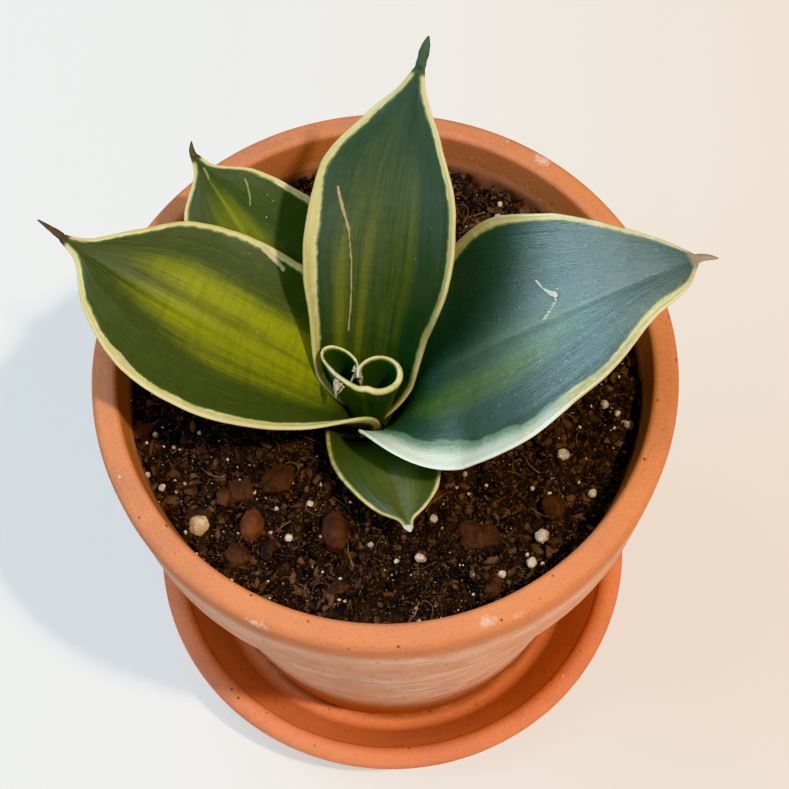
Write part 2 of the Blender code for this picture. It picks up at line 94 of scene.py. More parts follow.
# Each leaf in millimetres and degrees, much as in the model but with some widths redrawn, then
# its own looks. cream_left and cream_right are the pale margin's width at WIDTH_AT. bands are
# the bright stripes: place at the start and the end (-1 left margin, 1 right margin),
# half-width, start and end along the leaf, strength. marks are dry scars: points of (along,
# across) and a half-width in mm. skin is roughness, specular level, index and how pebbly; tip
# and scar are pairs of colours.
LEAVES = {
    "leaf_centre": {
        "reach": 5.0, "heading": 75, "sweep": -6, "length": 104.2,
        "lift": (90, 65, 71, 56, 46), "lean": (-15, 0), "curl": (11.5, 4.1, 3.0, 1.6, 1.0),
        "left": (9, 17.5, 19.5, 21.5, 19.5, 11, 3.5, 1.0),
        "right": (12, 13.5, 16.5, 22.5, 18.5, 9.5, 2.5, 1.0),
        "spine": (8.2, 66, 40),
        "cream_left": (1.2, 1.6, 2.2, 3.0, 1.5, 1.4, 1.3, 1.0),
        "cream_right": (0.9, 0.9, 1.2, 1.6, 1.3, 1.1, 0.8, 0.6),
        "bands": ((-0.62, -0.52, 0.09, 0.05, 0.58, 0.50), (-0.40, -0.30, 0.50, -0.2, 0.95, 0.45),
                  (-0.30, -0.18, 0.06, 0.05, 0.65, 0.35), (0.20, 0.22, 0.24, 0.0, 0.95, 0.30),
                  (0.42, 0.36, 0.10, 0.1, 0.82, 0.35)),
        "marks": (((0.658, -0.726), (0.612, -0.624), (0.568, -0.524), (0.55, -0.49), 0.44),
                  ((0.56, -0.50), (0.517, -0.456), (0.452, -0.411), (0.36, -0.407),
                   (0.224, -0.44), 0.25)),
        "dark": (0.040, 0.066, 0.034), "bright": (0.150, 0.162, 0.034), "seed": 1,
        "skin": (0.36, 0.5, 1.5, 0.4), "tip": ((0.03, 0.05, 0.02), (0.07, 0.10, 0.04)),
        "scar": ((0.30, 0.22, 0.09), (0.48, 0.37, 0.18)),
    },
    "leaf_left": {
        "reach": 7.4, "heading": 173, "sweep": -25, "length": 93.8,
        "lift": (90, 48, 38, 27, 26), "lean": (18, -16), "curl": (7.7, 4.5, 1.5, 0.7, 1.2),
        "left": (13, 22, 24.5, 28, 24, 14, 2.3, 0.8),
        "right": (4, 21, 26, 26.5, 22.5, 11.5, 2.6, 0.8),
        "spine": (7.7, 146, 15),
        "cream_left": (1.6, 2.0, 2.3, 2.1, 1.8, 1.5, 1.0, 0.7),
        "cream_right": (-4.5, 0.9, 1.5, 1.1, 1.0, 1.2, 0.8, 0.6),
        "bands": ((0.22, 0.40, 0.20, 0.0, 0.84, 0.80), (-0.16, -0.10, 0.15, 0.0, 0.84, 0.62),
                  (-0.42, -0.34, 0.12, 0.05, 0.66, 0.40), (0.02, 0.06, 0.07, 0.0, 0.9, 0.35),
                  (0.0, 0.1, 0.55, 0.0, 0.95, 0.18)),
        "marks": (((0.476, 0.97), (0.433, 0.93), (0.395, 0.89), 0.7),
                  ((0.775, -0.93), (0.728, -0.90), (0.68, -0.93), 0.5)),
        "dark": (0.050, 0.064, 0.022), "bright": (0.222, 0.228, 0.016), "seed": 2,
        "skin": (0.46, 0.3, 1.45, 0.3), "tip": ((0.045, 0.030, 0.016), (0.12, 0.085, 0.045)),
        "scar": ((0.34, 0.29, 0.14), (0.50, 0.43, 0.24)),
    },
    "leaf_right": {
        "reach": 9.7, "heading": -7, "sweep": 27, "length": 102.7,
        "lift": (90, 59, 50, 25, 0), "lean": (-1, 0), "curl": (5.9, 3.7, 0.7, 1.1, 1.4),
        "left": (15, 22, 27.5, 31, 25, 15, 7, 1.0),
        "right": (5, 25.5, 31, 32.5, 23.5, 11, 6.5, 1.0),
        "spine": (5.5, -10, 0),
        "cream_left": (2.4, 2.8, 2.9, 2.1, 1.4, 1.0, 1.0, 0.6),
        "cream_right": (7.0, 8.2, 7.6, 5.6, 3.0, 2.2, 1.4, 0.8),
        "bands": ((0.30, 0.20, 0.17, 0.05, 0.76, 0.75), (-0.06, -0.02, 0.10, 0.2, 0.80, 0.40),
                  (0.46, 0.42, 0.08, 0.15, 0.62, 0.35), (-0.25, -0.2, 0.12, 0.3, 0.8, 0.25)),
        "marks": (((0.609, -0.375), (0.620, -0.283), (0.634, -0.205), (0.646, -0.175), 0.28),
                  ((0.627, -0.27), (0.640, -0.22), (0.655, -0.24), 0.22),
                  ((0.647, -0.207), (0.642, -0.142), (0.623, -0.077), (0.599, -0.024), 0.34)),
        "dark": (0.048, 0.082, 0.058), "bright": (0.115, 0.185, 0.050), "seed": 3,
        "skin": (0.24, 0.75, 1.55, 1.0), "tip": ((0.20, 0.12, 0.06), (0.44, 0.31, 0.17)),
        "scar": ((0.42, 0.40, 0.30), (0.66, 0.64, 0.54)),
    },
    "leaf_back_left": {
        "reach": 12.2, "heading": 133, "sweep": -7, "length": 75.0,
        "lift": (90, 57, 40, 35, 35), "lean": (-6, -5), "curl": (4.7, 3.0, 1.5, 1.1, 1.2),
        "left": (12, 15, 19, 22.5, 17, 10.5, 2.3, 0.7),
        "right": (12, 15, 19, 22.5, 17.5, 11, 2.3, 0.7),
        "spine": (4.3, 86, 45),
        "cream_left": (1.0, 1.2, 1.2, 1.1, 0.9, 0.8, 0.6, 0.5),
        "cream_right": (1.3, 1.5, 1.7, 1.5, 1.2, 0.8, 0.5, 0.4),
        "bands": ((-0.25, -0.2, 0.30, 0.0, 0.95, 0.65), (0.15, 0.1, 0.16, 0.1, 0.95, 0.5),
                  (0.0, 0.0, 0.03, 0.2, 0.98, 0.5)),
        "marks": (((0.842, 0.70), (0.754, 0.336), 0.22), ((0.95, 0.2), (0.91, 0.0), 0.28)),
        "dark": (0.042, 0.060, 0.018), "bright": (0.165, 0.180, 0.014), "seed": 4,
        "skin": (0.46, 0.3, 1.45, 0.3), "tip": ((0.05, 0.045, 0.022), (0.14, 0.11, 0.06)),
        "scar": ((0.14, 0.17, 0.06), (0.26, 0.28, 0.12)),
    },
    "leaf_front": {
        "reach": 12.2, "heading": 280, "sweep": 5, "length": 36.9,
        "lift": (90, 56, 28, 17, 15), "lean": (-9, -5), "curl": (4.7, 3.5, 1.8, 1.5, 1.5),
        "left": (8, 12, 14.5, 13.5, 11, 6, 1.5, 1),
        "right": (8, 15, 14.5, 13.5, 10, 6, 1.5, 1),
        "spine": (1.5, 287, 10),
        "cream_left": (0.1, 0.1, 0.2, 0.2, 0.2, 0.3, 0.4, 0.4),
        "cream_right": (0.1, 0.1, 0.1, 0.2, 0.2, 0.2, 0.3, 0.3),
        "bands": ((0.0, 0.0, 0.7, 0.35, 1.2, 0.55), (-0.5, -0.4, 0.2, 0.2, 1.0, 0.25)),
        "marks": (),
        "dark": (0.056, 0.074, 0.026), "bright": (0.145, 0.150, 0.055), "seed": 5,
        "skin": (0.42, 0.4, 1.45, 0.4), "tip": ((0.40, 0.38, 0.30), (0.58, 0.56, 0.46)),
        "scar": ((0.42, 0.36, 0.20), (0.58, 0.50, 0.32)),
    },
}

# Stones and bark in the soil, in millimetres and degrees, as in the model, with the number of
# flats that shape each one and its own finish.
LUMPS = {
    "pebble_cream": {"at": (-50.4, -37.1), "half": (2.8, 2.8, 2.3), "turn": 20, "flats": 4},
    "stone_red_brown": {"at": (-36.5, -37.8), "half": (3.1, 4.8, 2.6), "turn": -12, "flats": 3},
    "stone_brown": {"at": (-14.8, -40.7), "half": (3.6, 5.6, 3.4), "turn": 4, "flats": 2},
    "bark_chip_01": {"at": (-39.2, -28.1), "half": (3.6, 4.9, 1.9), "turn": 10, "flats": 9},
    "bark_chip_02": {"at": (-29.7, -25.7), "half": (3.9, 5.0, 2.0), "turn": -30, "flats": 9},
    "bark_chip_03": {"at": (-40.5, -46.0), "half": (3.9, 3.4, 1.7), "turn": 35, "flats": 8},
    "bark_chip_04": {"at": (-14.1, -56.0), "half": (3.5, 2.2, 1.4), "turn": 8, "flats": 8},
    "bark_chip_05": {"at": (22.9, -43.6), "half": (6.2, 4.9, 2.0), "turn": -18, "flats": 10},
    "bark_chip_06": {"at": (42.4, -36.0), "half": (2.8, 4.2, 1.8), "turn": 14, "flats": 8},
}
PERLITE = (
    (46, -22, 2.0), (39, -44.5, 2.2), (36, -51.5, 1.7), (11, -38, 1.4), (7, -49, 1.6),
    (28, -54.5, 1.3), (53, -33, 1.4), (58, -8, 1.4), (64, -14, 1.7), (-21, -33, 1.2),
    (-27, -42, 1.3), (-60, -26, 1.2), (20, 54, 1.5), (33, 49, 1.4),
)


# ---- helpers ------------------------------------------------------------------------------

class Graph:
    """Short calls that build one material's nodes."""

    def __init__(self, name):
        self.material = bpy.data.materials.new(name)
        self.material.use_nodes = True
        self.tree = self.material.node_tree
        self.shader = self.tree.nodes["Principled BSDF"]

    def add(self, kind, **settings):
        node = self.tree.nodes.new("ShaderNode" + kind)
        for key, value in settings.items():
            setattr(node, key, value)
        return node

    def put(self, socket, value):
        if isinstance(value, bpy.types.NodeSocket):
            self.tree.links.new(value, socket)
        elif isinstance(value, tuple) and len(value) == 3 and socket.type == "RGBA":
            socket.default_value = (*value, 1.0)
        else:
            socket.default_value = value

    def set(self, **values):
        """Feeds the Principled shader; underscores stand for spaces."""
        for key, value in values.items():
            self.put(self.shader.inputs[key.replace("_", " ")], value)

    def stored(self, name):
        """A number kept at the mesh's points."""
        return self.add("Attribute", attribute_name=name).outputs["Fac"]

    def place(self):
        return self.add("TexCoord").outputs["Object"]

    def joined(self, x, y, z=0.0):
        node = self.add("CombineXYZ")
        for socket, value in zip(node.inputs, (x, y, z)):
            self.put(socket, value)
        return node.outputs[0]

    def stretched(self, vector, scale):
        node = self.add("Mapping")
        self.put(node.inputs["Vector"], vector)
        node.inputs["Scale"].default_value = scale
        return node.outputs[0]

    def noise(self, vector, scale, detail=3.0, rough=0.55, warp=0.0):
        node = self.add("TexNoise")
        self.put(node.inputs["Vector"], vector)
        node.inputs["Scale"].default_value = scale
        node.inputs["Detail"].default_value = detail
        node.inputs["Roughness"].default_value = rough
        node.inputs["Distortion"].default_value = warp
        return node.outputs[0]

    def cells(self, vector, scale, feature="F1"):
        node = self.add("TexVoronoi", feature=feature)
        self.put(node.inputs["Vector"], vector)
        node.inputs["Scale"].default_value = scale
        return node.outputs["Distance"]

    def sum(self, operation, first, second=0.0, clamp=False):
        node = self.add("Math", operation=operation, use_clamp=clamp)
        self.put(node.inputs[0], first)
        self.put(node.inputs[1], second)
        return node.outputs[0]

    def fade(self, value, low, high, to_low=0.0, to_high=1.0):
        """Smoothly from to_low where value is low to to_high where it is high."""
        node = self.add("MapRange", interpolation_type="SMOOTHSTEP")
        numbers = (value, low, high, to_low, to_high)
        for socket, number in zip(node.inputs, numbers):
            self.put(socket, number)
        return node.outputs[0]

    def blend(self, share, first, second, mode="MIX"):
        node = self.add("Mix", data_type="RGBA", blend_type=mode)
        self.put(node.inputs[0], share)
        self.put(node.inputs[6], first)
        self.put(node.inputs[7], second)
        return node.outputs[2]

    def bump(self, height, distance, strength=1.0, under=None):
        node = self.add("Bump")
        self.put(node.inputs["Height"], height)
        node.inputs["Distance"].default_value = distance
        node.inputs["Strength"].default_value = strength
        if under is not None:
            self.put(node.inputs["Normal"], under)
        return node.outputs[0]


def make_piece(name, points, faces, surface, crease=55, stored=None):
    """A smooth-shaded mesh; stored holds numbers kept at its points."""
    mesh = bpy.data.meshes.new(name)
    mesh.from_pydata(points, [], faces)
    shape = bmesh.new()
    shape.from_mesh(mesh)
    bmesh.ops.recalc_face_normals(shape, faces=shape.faces)
    shape.to_mesh(mesh)
    shape.free()
    mesh.materials.append(surface)
    mesh.shade_smooth()
    mesh.set_sharp_from_angle(angle=math.radians(crease))
    for key, numbers in (stored or {}).items():
        attribute = mesh.attributes.new(key, "FLOAT", "POINT")
        attribute.data.foreach_set("value", np.asarray(numbers, np.float32))
    item = bpy.data.objects.new(name, mesh)
    bpy.context.scene.collection.objects.link(item)
    return item


def hand_over(piece, slot, *nodes):
    """The piece rides with the object, and stands for these nodes of the model."""
    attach(piece, BODY)
    if nodes:
        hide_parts(*nodes)
    return piece


def grid_faces(rows, columns, closed=False, first=0):
    faces = []
    steps = columns if closed else columns - 1
    for row in range(rows - 1):
        for column in range(steps):
            beside = (column + 1) % columns
            low = first + row * columns
            high = low + columns
            faces.append((low + column, low + beside, high + beside, high + column))
    return faces


def smooth_value(place, places, values):
    """A monotone cubic through values given at places."""
    last = len(places) - 1
    spans = [places[i + 1] - places[i] for i in range(last)]
    slopes = [(values[i + 1] - values[i]) / spans[i] for i in range(last)]
    tangents = [slopes[0]]
    for before, after in zip(slopes, slopes[1:]):
        tangents.append(2.0 * before * after / (before + after) if before * after > 0 else 0.0)
    tangents.append(slopes[-1])
    index = 0
    while index < last - 1 and place > places[index + 1]:
        index += 1
    t = (place - places[index]) / spans[index]
    rise = spans[index]
    return ((2 * t**3 - 3 * t**2 + 1) * values[index]
            + (t**3 - 2 * t**2 + t) * rise * tangents[index]
            + (3 * t**2 - 2 * t**3) * values[index + 1]
            + (t**3 - t**2) * rise * tangents[index + 1])


def smooth_step(value, low, high):
    share = min(1.0, max(0.0, (value - low) / (high - low)))
    return share * share * (3.0 - 2.0 * share)


def wander(x, y, z, octaves=3):
    """Soft noise from about -1 to 1."""
    return noise.fractal(Vector((x, y, z)), 1.0, 2.0, octaves)


# ---- materials ----------------------------------------------------------------------------

def clay_material(name, warm, cool, chalk_and_lift_amount):
    """Unglazed clay: soft mottle, fine grain, pin holes, and chalky lines where stored; the stored pale
    haze is partly a painted lift of shade, and the stored darkening is soil stain and painted shade.
    """
    g = Graph(name)
    at = g.place()
    mottle = g.noise(at, 26.0, 4.0, 0.6)
    clouds = g.noise(at, 95.0, 3.0, 0.6)
    grain = g.noise(at, 1500.0, 3.0, 0.7)
    rings = g.noise(g.stretched(at, (9.0, 9.0, 620.0)), 1.0, 4.0, 0.65)
    colour = g.blend(g.fade(mottle, 0.36, 0.66), warm, cool)
    colour = g.blend(g.fade(clouds, 0.35, 0.75, 0.0, 0.35), colour, tuple(c * 1.22 for c in warm))
    colour = g.blend(g.fade(rings, 0.35, 0.75, 0.0, 0.28), colour, tuple(c * 0.78 for c in cool))
    colour = g.blend(g.fade(grain, 0.3, 0.75, 0.0, 0.35), colour, tuple(c * 1.35 for c in warm))
    colour = g.blend(g.fade(grain, 0.45, 0.25, 0.0, 0.35), colour, tuple(c * 0.62 for c in cool))
    lines = g.noise(g.stretched(at, (16.0, 16.0, 1500.0)), 1.0, 3.0, 0.7, 0.3)
    breaks = g.noise(g.stretched(at, (60.0, 60.0, 160.0)), 1.0, 4.0, 0.65)
    scratchy = g.sum("MULTIPLY", g.fade(lines, 0.50, 0.58), g.fade(breaks, 0.40, 0.60))
    scratchy = g.sum("MULTIPLY", scratchy, g.fade(g.noise(at, 22.0, 2.0), 0.38, 0.62, 0.55, 1.15))
    streaks = g.sum("MULTIPLY", scratchy, g.stored("chalk_and_painted_lift"))
    # Pale haze: mineral bloom, and on the pot's body also a painted lift of the shade under the collar.
    haze_and_painted_lift = g.sum("MULTIPLY", g.stored("chalk_and_painted_lift"), g.fade(clouds, 0.2, 0.8, 0.14, 0.34))
    chalk_and_painted_lift = g.sum("MULTIPLY", g.sum("MAXIMUM", streaks, haze_and_painted_lift), chalk_and_lift_amount, True)
    colour = g.blend(chalk_and_painted_lift, colour, (0.80, 0.62, 0.50))
    ragged = g.sum("ADD", g.stored("bloom"), g.sum("MULTIPLY", g.noise(at, 900.0, 4.0, 0.8), 1.3))
    bloom = g.fade(ragged, 1.18, 1.60, 0.0, 0.45)
    colour = g.blend(bloom, colour, (0.86, 0.74, 0.64))
    specks = g.sum("MULTIPLY", g.fade(g.cells(at, 230.0), 0.13, 0.06), g.fade(clouds, 0.47, 0.53))
    pins = g.sum("MULTIPLY", g.fade(g.cells(at, 620.0), 0.16, 0.08), g.fade(clouds, 0.40, 0.60))
    specks = g.sum("MAXIMUM", specks, g.sum("MULTIPLY", pins, 0.6))
    colour = g.blend(g.sum("MULTIPLY", specks, 0.75), colour, (0.07, 0.025, 0.015))
    pale = g.sum("MULTIPLY", g.fade(g.cells(g.stretched(at, (1.3, 1.1, 1.7)), 150.0), 0.09, 0.04),
                 g.fade(mottle, 0.5, 0.6))
    colour = g.blend(g.sum("MULTIPLY", pale, 0.55), colour, (0.85, 0.66, 0.52))
    # Darkened where stored: soil stains on the pot's inner wall, and on the saucer a painted shade round
    # the pot's foot.
    stain_and_shade = g.fade(g.stored("soil_stain_and_foot_shade"), 0.2, 1.0, 0.0, 0.75)
    colour = g.blend(g.sum("MULTIPLY", stain_and_shade, g.fade(clouds, 0.25, 0.6, 0.35, 1.0)), colour,
                     (0.10, 0.035, 0.018))
    height = g.sum("SUBTRACT", g.sum("MULTIPLY", grain, 0.6), specks)
    normal = g.bump(height, 0.25 * MM, 0.5)
    normal = g.bump(rings, 0.22 * MM, 0.45, normal)
    g.set(Base_Color=colour, Roughness=g.fade(mottle, 0.3, 0.7, 0.74, 0.86), Normal=normal)
    g.shader.inputs["Specular IOR Level"].default_value = 0.32
    return g.material


def earth_material(name, dark, light, grain_scale):
    """Loose dark soil and its crumbs; tone, kept at the points, varies crumb by crumb."""
    g = Graph(name)
    at = g.place()
    lumps = g.noise(at, grain_scale * 0.35, 4.0, 0.65)
    fine = g.noise(at, grain_scale, 4.0, 0.7)
    fibres = g.noise(g.stretched(at, (1.0, 3.2, 1.0)), grain_scale * 0.6, 3.0, 0.6, 0.8)
    tone = g.sum("ADD", g.sum("MULTIPLY", lumps, 0.45), g.sum("MULTIPLY", g.stored("tone"), 0.85))
    colour = g.blend(g.fade(tone, 0.40, 1.15), dark, light)
    colour = g.blend(g.fade(fine, 0.45, 0.75, 0.0, 0.5), colour, tuple(c * 1.9 for c in light))
    colour = g.blend(g.fade(fibres, 0.62, 0.75, 0.0, 0.45), colour, (0.16, 0.085, 0.045))
    normal = g.bump(g.sum("ADD", fine, fibres), 0.5 * MM, 0.8)
    g.set(Base_Color=colour, Roughness=0.92, Normal=normal)
    g.shader.inputs["Specular IOR Level"].default_value = 0.25
    return g.material


def bark_material(name, dark, light):
    """Fibrous bark, streaked along its length."""
    g = Graph(name)
    at = g.place()
    fibre = g.noise(g.stretched(at, (900.0, 260.0, 900.0)), 1.0, 4.0, 0.65, 0.4)
    patch = g.noise(at, 190.0, 3.0, 0.6)
    tone = g.sum("ADD", g.sum("MULTIPLY", patch, 0.6), g.sum("MULTIPLY", g.stored("tone"), 0.5))
    colour = g.blend(g.fade(tone, 0.25, 0.85), dark, light)
    colour = g.blend(g.fade(fibre, 0.5, 0.72, 0.0, 0.6), colour, tuple(c * 1.8 for c in light))
    colour = g.blend(g.fade(fibre, 0.42, 0.28, 0.0, 0.7), colour, tuple(c * 0.45 for c in dark))
    normal = g.bump(fibre, 0.5 * MM, 0.8)
    g.set(Base_Color=colour, Roughness=0.85, Normal=normal)
    g.shader.inputs["Specular IOR Level"].default_value = 0.3
    return g.material


def stone_material(name, dark, light, roughness):
    """A worn stone: soft patches, fine grain and a few dark pits."""
    g = Graph(name)
    at = g.place()
    patch = g.noise(at, 240.0, 4.0, 0.6)
    grain = g.noise(at, 1700.0, 3.0, 0.7)
    pits = g.fade(g.cells(at, 900.0), 0.22, 0.08)
    colour = g.blend(g.fade(patch, 0.35, 0.68), dark, light)
    colour = g.blend(g.fade(grain, 0.4, 0.75, 0.0, 0.35), colour, tuple(c * 1.35 for c in light))
    colour = g.blend(g.sum("MULTIPLY", pits, 0.45), colour, tuple(c * 0.35 for c in dark))
    normal = g.bump(g.sum("SUBTRACT", grain, pits), 0.2 * MM, 0.5)
    g.set(Base_Color=colour, Roughness=roughness, Normal=normal)
    g.shader.inputs["Specular IOR Level"].default_value = 0.2
    return g.material


def perlite_material(name):
    """Foamed white grains, dusted brown by the soil."""
    g = Graph(name)
    at = g.place()
    stain = g.noise(at, 520.0, 4.0, 0.65)
    foam = g.cells(at, 2600.0)
    colour = g.blend(g.fade(stain, 0.42, 0.70), (0.58, 0.47, 0.34), (0.32, 0.20, 0.115))
    colour = g.blend(g.fade(foam, 0.35, 0.05, 0.0, 0.5), colour, (0.34, 0.25, 0.18))
    g.set(Base_Color=colour, Roughness=0.9, Normal=g.bump(foam, 0.25 * MM, 0.7))
    return g.material


def leaf_material(name, dark, bright, skin, tip_colours, scar_colours):
    """Waxy variegated skin: dark green, yellow-green streaks, a ragged cream margin, scars."""
    g = Graph(name)
    at = g.place()
    across = g.stored("across")
    along = g.stored("along")
    lines = g.joined(across, g.sum("MULTIPLY", along, 0.028))
    broad = g.noise(lines, 0.55, 3.0, 0.55)
    fine = g.noise(lines, 2.1, 4.0, 0.6)
    hair = g.noise(lines, 5.5, 3.0, 0.6)
    mottle = g.noise(at, 420.0, 4.0, 0.65)
    pebble = g.noise(g.joined(g.sum("MULTIPLY", across, 1.6), along), 2.3, 3.0, 0.7)
    cross = g.noise(g.joined(g.sum("MULTIPLY", across, 0.12), g.sum("MULTIPLY", along, 0.5)), 1.0, 3.0)

    glow = g.sum("ADD", g.stored("glow"), g.sum("MULTIPLY", g.sum("SUBTRACT", fine, 0.5), 0.75))
    glow = g.sum("ADD", glow, g.sum("MULTIPLY", g.sum("SUBTRACT", broad, 0.5), 0.55))
    glow = g.sum("ADD", glow, g.sum("MULTIPLY", g.sum("SUBTRACT", mottle, 0.5), 0.18))
    colour = g.blend(g.fade(glow, 0.12, 1.05), dark, bright)
    colour = g.blend(g.fade(hair, 0.55, 0.8, 0.0, 0.30), colour, tuple(c * 1.5 for c in bright))
    colour = g.blend(g.fade(hair, 0.42, 0.25, 0.0, 0.30), colour, tuple(c * 0.55 for c in dark))
    colour = g.blend(g.fade(cross, 0.40, 0.72, 0.0, 0.22), colour, tuple(c * 0.6 for c in dark))

    edge = g.sum("ADD", g.stored("cream"), g.sum("MULTIPLY", g.sum("SUBTRACT", cross, 0.5), 1.1))
    edge = g.sum("ADD", edge, g.sum("MULTIPLY", g.sum("SUBTRACT", fine, 0.5), 0.7))
    brushed = g.noise(g.joined(g.sum("MULTIPLY", across, 2.2), g.sum("MULTIPLY", along, 0.5)),
                      1.4, 4.0, 0.7)
    grainy = g.sum("ADD", g.sum("MULTIPLY", pebble, 0.45), g.sum("MULTIPLY", brushed, 0.65))
    upper = g.sum("SUBTRACT", 1.0, g.stored("under"), True)
    pale_green = g.blend(fine, (0.10, 0.15, 0.05), (0.22, 0.27, 0.11))
    colour = g.blend(g.fade(edge, -0.60, -0.05, 0.0, 0.7), colour, pale_green)
    cream = g.blend(g.fade(broad, 0.35, 0.65), (0.44, 0.38, 0.12), (0.58, 0.52, 0.23))
    cream = g.blend(g.fade(mottle, 0.45, 0.70, 0.0, 0.5), cream, (0.68, 0.62, 0.40))
    depth = g.sum("ADD", g.stored("mint"), g.sum("MULTIPLY", g.sum("SUBTRACT", brushed, 0.5), 1.1))
    minty = g.blend(depth, (0.70, 0.72, 0.58), (0.15, 0.26, 0.17))
    cream = g.blend(g.stored("milk"), cream, minty)
    colour = g.blend(g.fade(edge, -0.15, 0.40), colour, cream)
    rim = g.sum("MULTIPLY", g.stored("rim"), g.fade(mottle, 0.35, 0.7, 0.1, 0.7))
    colour = g.blend(rim, colour, (0.50, 0.38, 0.20))

    dry = g.sum("ADD", g.stored("dry"), g.sum("MULTIPLY", g.sum("SUBTRACT", mottle, 0.5), 0.9))
    dry = g.sum("MULTIPLY", g.fade(dry, 0.40, 0.62), upper)
    colour = g.blend(dry, colour, g.blend(fine, *scar_colours))
    tip = g.fade(g.sum("ADD", g.stored("tip"), g.sum("MULTIPLY", mottle, 0.3)), 0.35, 0.75)
    colour = g.blend(tip, colour, g.blend(g.fade(hair, 0.35, 0.65), *tip_colours))
    dust = g.fade(g.cells(at, 260.0), 0.055, 0.03)
    dust = g.sum("MULTIPLY", dust, g.fade(g.noise(at, 60.0, 2.0), 0.52, 0.60))
    colour = g.blend(g.sum("MULTIPLY", dust, 0.7), colour, (0.70, 0.72, 0.66))

    roughness, level, index, pebbly = skin
    normal = g.bump(grainy, 0.22 * MM, pebbly)
    normal = g.bump(fine, 0.20 * MM, 0.4, normal)
    normal = g.bump(g.sum("ADD", dry, tip), 0.3 * MM, 0.5, normal)
    rough = g.fade(mottle, 0.3, 0.7, roughness - 0.04, roughness + 0.04)
    rough = g.sum("ADD", rough, g.sum("MULTIPLY", g.sum("MAXIMUM", dry, tip), 0.35), True)
    g.set(Base_Color=colour, Roughness=rough, Normal=normal)
    g.shader.inputs["Specular IOR Level"].default_value = level
    g.shader.inputs["IOR"].default_value = index
    return g.material


def floor_material():
    """A pale sheet that glows a little, a painted light so that shadows on it stay light; the glow is
    warmer at right, a painted warm bounce of light off the pot.
    """
    g = Graph("floor")
    at = g.place()
    sideways = g.add("SeparateXYZ")
    g.put(sideways.inputs[0], at)
    # Painted light: the glow's colour turns warm towards the right, standing in for light bounced off the
    # pot.
    painted_bounce_warmth = g.fade(sideways.outputs[0], -0.10, 0.22)
    soft = g.noise(at, 3.0, 2.0)
    g.set(Base_Color=g.blend(soft, (0.36, 0.355, 0.34), (0.39, 0.38, 0.365)), Roughness=0.7)
    g.set(Emission_Color=g.blend(painted_bounce_warmth, (0.90, 0.95, 0.97), (1.0, 0.75, 0.55)))
    g.shader.inputs["Emission Strength"].default_value = 0.50
    g.shader.inputs["Specular IOR Level"].default_value = 0.1
    return g.material


# ---- pot and saucer -----------------------------------------------------------------------

def arc(centre_r, centre_z, radius, start, end, steps):
    """Points on a circle in the profile plane, angles in degrees."""
    points = []
    for step in range(steps + 1):
        angle = math.radians(start + (end - start) * step / steps)
        points.append((centre_r + radius * math.cos(angle), centre_z + radius * math.sin(angle)))
    return points


def pot_profile():
    """Mouth, rim, outside, foot, drain hole, floor and inside."""
    lip = 3.0 * MM
    edge = 1.2 * MM
    mouth = 1.7 * MM
    heel = 1.8 * MM
    profile = arc(MOUTH_RADIUS + mouth, RIM_TOP - mouth, mouth, 170, 92, 6)
    profile += arc(RIM_RADIUS - lip, RIM_WIDE + 0.5 * MM, lip, 84, 0, 10)
    profile += [(RIM_RADIUS - 0.3 * MM, RIM_WIDE - 4.0 * MM)]
    profile += arc(COLLAR_LOW_RADIUS - edge, COLLAR_LOW + edge, edge, 0, -90, 5)
    profile += arc(BODY_TOP_RADIUS + 1.4 * MM, COLLAR_LOW - 1.4 * MM, 1.4 * MM, 90, 175, 5)
    profile += arc(FOOT_RADIUS - heel, POT_FOOT + heel, heel, -5, -90, 5)
    profile += [(DRAIN_RADIUS, POT_FOOT), (DRAIN_RADIUS, POT_FOOT + POT_FLOOR)]
    profile += arc(WELL_RADIUS - heel, POT_FOOT + POT_FLOOR + heel, heel, -90, -10, 4)
    return profile


def saucer_profile():
    """Lip, outside, foot, floor and the sloping inside."""
    lip = SAUCER_LIP / 2
    heel = 2.5 * MM
    profile = arc(SAUCER_RADIUS - lip, SAUCER_TOP - lip, lip, 172, -10, 16)
    profile += arc(SAUCER_FOOT_RADIUS - heel, heel, heel, -10, -90, 6)
    profile += [(0.4 * MM, 0.0), (0.4 * MM, SAUCER_FLOOR)]
    profile += arc(SAUCER_WELL_RADIUS - 1.6 * heel, SAUCER_FLOOR + 1.9 * heel, 1.9 * heel, -90, -30, 7)
    return profile


def subdivided(profile, spacing):
    """The closed profile with extra points, so that no step is longer than the spacing."""
    points = []
    for index, (r, z) in enumerate(profile):
        next_r, next_z = profile[(index + 1) % len(profile)]
        steps = max(1, math.ceil(math.hypot(next_r - r, next_z - z) / spacing))
        for step in range(steps):
            share = step / steps
            points.append((r + (next_r - r) * share, z + (next_z - z) * share))
    return points


def turned(name, profile, surface, steps, wobble, stored):
    """A closed profile turned round Z, a little uneven; stored maps names to functions."""
    points = []
    numbers = {key: [] for key in stored}
    for r, z in profile:
        for step in range(steps):
            angle = TAU * step / steps
            x = math.cos(angle)
            y = math.sin(angle)
            swell = wobble * wander(x * 1.3, y * 1.3, z * 35.0) * smooth_step(r, 0.0, 0.02)
            point = ((r + swell) * x, (r + swell) * y, z)
            points.append(point)
            for key, rule in stored.items():
                numbers[key].append(rule(*point))
    faces = grid_faces(len(profile), steps, closed=True)
    last = (len(profile) - 1) * steps
    for step in range(steps):
        beside = (step + 1) % steps
        faces.append((last + step, last + beside, beside, step))
    return make_piece(name, points, faces, surface, 60, numbers)


